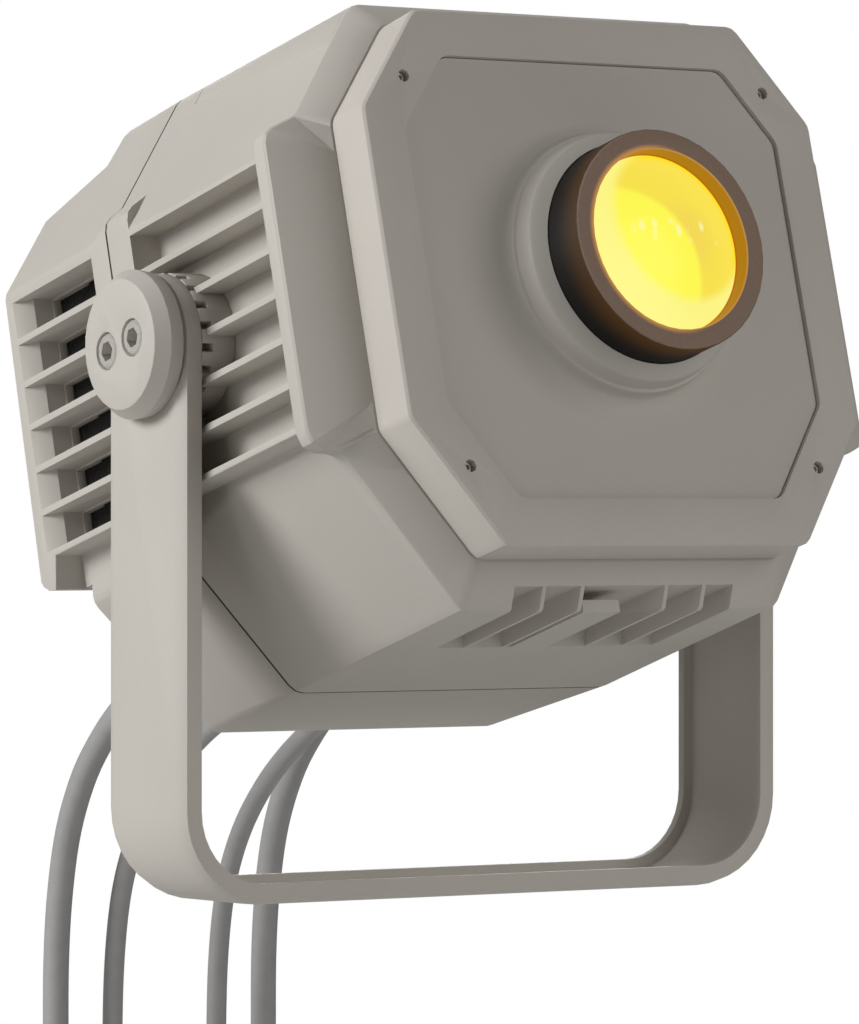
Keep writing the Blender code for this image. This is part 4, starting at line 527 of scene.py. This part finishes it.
def reach(outline, turn):
    """How far the outline lies from the lens axis in one direction."""
    ahead = Vector((math.cos(turn), math.sin(turn)))
    for k, corner in enumerate(outline):
        here = Vector(corner)
        edge = Vector(outline[(k + 1) % len(outline)]) - here
        across = ahead.x * edge.y - ahead.y * edge.x
        if abs(across) < 1e-12:
            continue
        away = (here.x * edge.y - here.y * edge.x) / across
        along = (here.x * ahead.y - here.y * ahead.x) / across
        if away > 0.0 and -1e-6 <= along <= 1.0 + 1e-6:
            return away
    return 0.0


def eased(corners, steps=4):
    """A profile through (radius, rise, ease) corners, each rounded over its ease."""
    points = []
    for i, (radius, rise, ease) in enumerate(corners):
        here = Vector((radius, rise))
        if ease == 0.0:
            points.append(here)
            continue
        back = Vector(corners[i - 1][:2]) - here
        ahead = Vector(corners[i + 1][:2]) - here
        start = here + back.normalized() * min(ease, back.length / 2.1)
        end = here + ahead.normalized() * min(ease, ahead.length / 2.1)
        for k in range(steps + 1):
            t = k / steps
            points.append(start * (1 - t) ** 2 + here * 2 * t * (1 - t) + end * t * t)
    return points


def front_panel_skin(material, group):
    """Stands for the front panel: the same plate, with the collar's steps rounded."""
    outline = panel_outline()
    turns = [math.atan2(z, x) for x, z in outline]
    turns += [2 * math.pi * k / PANEL_TURNS - math.pi for k in range(PANEL_TURNS)]
    turns = sorted(turns)
    turns = [turn for k, turn in enumerate(turns) if k == 0 or turn - turns[k - 1] > SMALLEST_TURN]

    # Each ring is a distance from the lens axis for every turn, and a rise from the panel's face
    plate = ((1.0, -PANEL_THICKNESS), (1.0, -PANEL_EDGE_DROP), (PANEL_EDGE_SHARE, 0.0))
    shapes = [([reach(outline, turn) * share for turn in turns], rise) for share, rise in plate]
    profile = [Vector((COLLAR_FOOT, 0.0))] + eased(COLLAR)
    profile += [Vector((COLLAR_BORE, COLLAR[-1][1])), Vector((COLLAR_BORE, -PANEL_THICKNESS))]
    shapes += [([point.x] * len(turns), point.y) for point in profile]

    body = bmesh.new()
    rings = []
    for distances, rise in shapes:
        rings.append([body.verts.new(to_world(away * math.cos(turn), PANEL_FACE - rise,
                                              away * math.sin(turn)))
                      for away, turn in zip(distances, turns)])
    join_rings(body, rings + rings[:1])
    bmesh.ops.remove_doubles(body, verts=body.verts, dist=WELD_DISTANCE)
    made = to_object(body, "front_panel_skin")
    paint(made, material)
    shade(made, group)
    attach(made, "head")
    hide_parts("front_panel")


# Cables


def gland_mouth(z, length):
    """The mouth of a gland on the rear face, as (Y, Z), and the direction out of it."""
    lean = math.atan(REAR_LEAN)
    y = REAR_AT_ROOF + REAR_LEAN * (ROOF - z) + length * math.cos(lean)
    high = z + length * math.sin(lean)
    mouth = to_world(0.0, y, high).yz
    turn = lean - TILT
    return mouth, Vector((math.cos(turn), math.sin(turn)))


def smooth_route(points, step):
    """A smooth curve through the points, cut into even steps, and its length."""
    dense = []
    count = len(points)
    for i in range(count - 1):
        before = points[max(i - 1, 0)]
        here = points[i]
        after = points[i + 1]
        beyond = points[min(i + 2, count - 1)]
        for k in range(SPLINE_STEPS):
            t = k / SPLINE_STEPS
            dense.append(0.5 * ((2 * here) + (after - before) * t
                                + (2 * before - 5 * here + 4 * after - beyond) * t * t
                                + (3 * here - before - 3 * after + beyond) * t * t * t))
    dense.append(points[-1])
    total = sum((b - a).length for a, b in zip(dense, dense[1:]))
    steps = max(4, round(total / step))
    even = [dense[0]]
    walked = 0.0
    for a, b in zip(dense, dense[1:]):
        length = (b - a).length
        while len(even) < steps and walked + length >= total * len(even) / steps:
            need = total * len(even) / steps - walked
            even.append(a.lerp(b, need / length))
        walked += length
    even.append(dense[-1])
    return even, total


def tube(name, points, radius):
    """A capped tube that follows points which all lie in one plane of constant X."""
    body = bmesh.new()
    rings = []
    across = Vector((1.0, 0.0, 0.0))
    for i, point in enumerate(points):
        ahead = points[min(i + 1, len(points) - 1)] - points[max(i - 1, 0)]
        up = across.cross(ahead.normalized())
        turns = [2 * math.pi * k / TUBE_SIDES for k in range(TUBE_SIDES)]
        rings.append([body.verts.new(point + (across * math.cos(turn) + up * math.sin(turn)) * radius)
                      for turn in turns])
    join_rings(body, rings)
    for face in body.faces:
        face.smooth = True
    body.faces.new(rings[0][::-1])
    body.faces.new(rings[-1])
    return to_object(body, name)


def hang_cables(material):
    """Two mains and two data leads, each from its gland on the head down to its connector."""
    for word, side in (("in", -1), ("out", 1)):
        for kind, cable in (("mains", MAINS), ("data", DATA)):
            diameter = cable["diameter"]
            mouth, direction = gland_mouth(cable["z"], cable["gland"])
            flat = [mouth, mouth + direction * diameter] + [Vector(p) for p in cable["route"]]
            route = [Vector((side * cable["x"], p.x, p.y)) for p in flat]
            points, total = smooth_route(route, diameter / 2)
            made = tube(f"{kind}_lead_{word}", points, diameter / 2)
            paint(made, material)
            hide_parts(f"{kind}_cable_{word}")
            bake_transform(made)


# Studio


def light_world():
    """A plain white background for the camera, and a weak even light for everything else."""
    world = bpy.data.worlds.new("studio")
    bpy.context.scene.world = world
    world.use_nodes = True
    tree = world.node_tree
    background = tree.nodes["Background"]
    background.inputs["Color"].default_value = (*WHITE, 1.0)
    path = tree.nodes.new("ShaderNodeLightPath")
    strength = tree.nodes.new("ShaderNodeMix")
    strength.data_type = "FLOAT"
    strength.inputs["A"].default_value = WORLD_LIGHT
    strength.inputs["B"].default_value = WORLD_SEEN
    tree.links.new(path.outputs["Is Camera Ray"], strength.inputs["Factor"])
    tree.links.new(strength.outputs["Result"], background.inputs["Strength"])


def lay_floor():
    bpy.ops.mesh.primitive_circle_add(vertices=96, radius=FLOOR_RADIUS, fill_type="NGON",
                                      location=(0.0, 0.0, FLOOR_HEIGHT))
    floor = bpy.context.active_object
    floor.name = "studio_floor"
    paint(floor, plain("floor", srgb(215, 215, 214), srgb(217, 217, 216), 0.8, scale=30.0, depth=0.00001))


def hang_lamps():
    for name, (place, size, power, colour) in LAMPS.items():
        light = bpy.data.lights.new(name, "AREA")
        light.shape = "DISK"
        light.size = size
        light.energy = power
        light.color = colour
        lamp = bpy.data.objects.new(name, light)
        lamp.location = place
        lamp.rotation_euler = (PIVOT - Vector(place)).to_track_quat("-Z", "Y").to_euler()
        bpy.context.scene.collection.objects.link(lamp)


def place_camera():
    data = bpy.data.cameras.new("camera")
    data.sensor_width = CAMERA_SENSOR
    data.lens = CAMERA_LENS
    data.clip_start, data.clip_end = CAMERA_CLIP
    eye = bpy.data.objects.new("camera", data)
    eye.location = CAMERA_PLACE
    eye.rotation_euler = CAMERA_TURN
    bpy.context.scene.collection.objects.link(eye)
    bpy.context.scene.camera = eye


def main():
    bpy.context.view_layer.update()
    bpy.context.scene.view_settings.view_transform = "Standard"
    looks = dress_frame()
    hang_cables(looks["grey_cable"])
    place_camera()
    light_world()
    lay_floor()
    hang_lamps()


main()
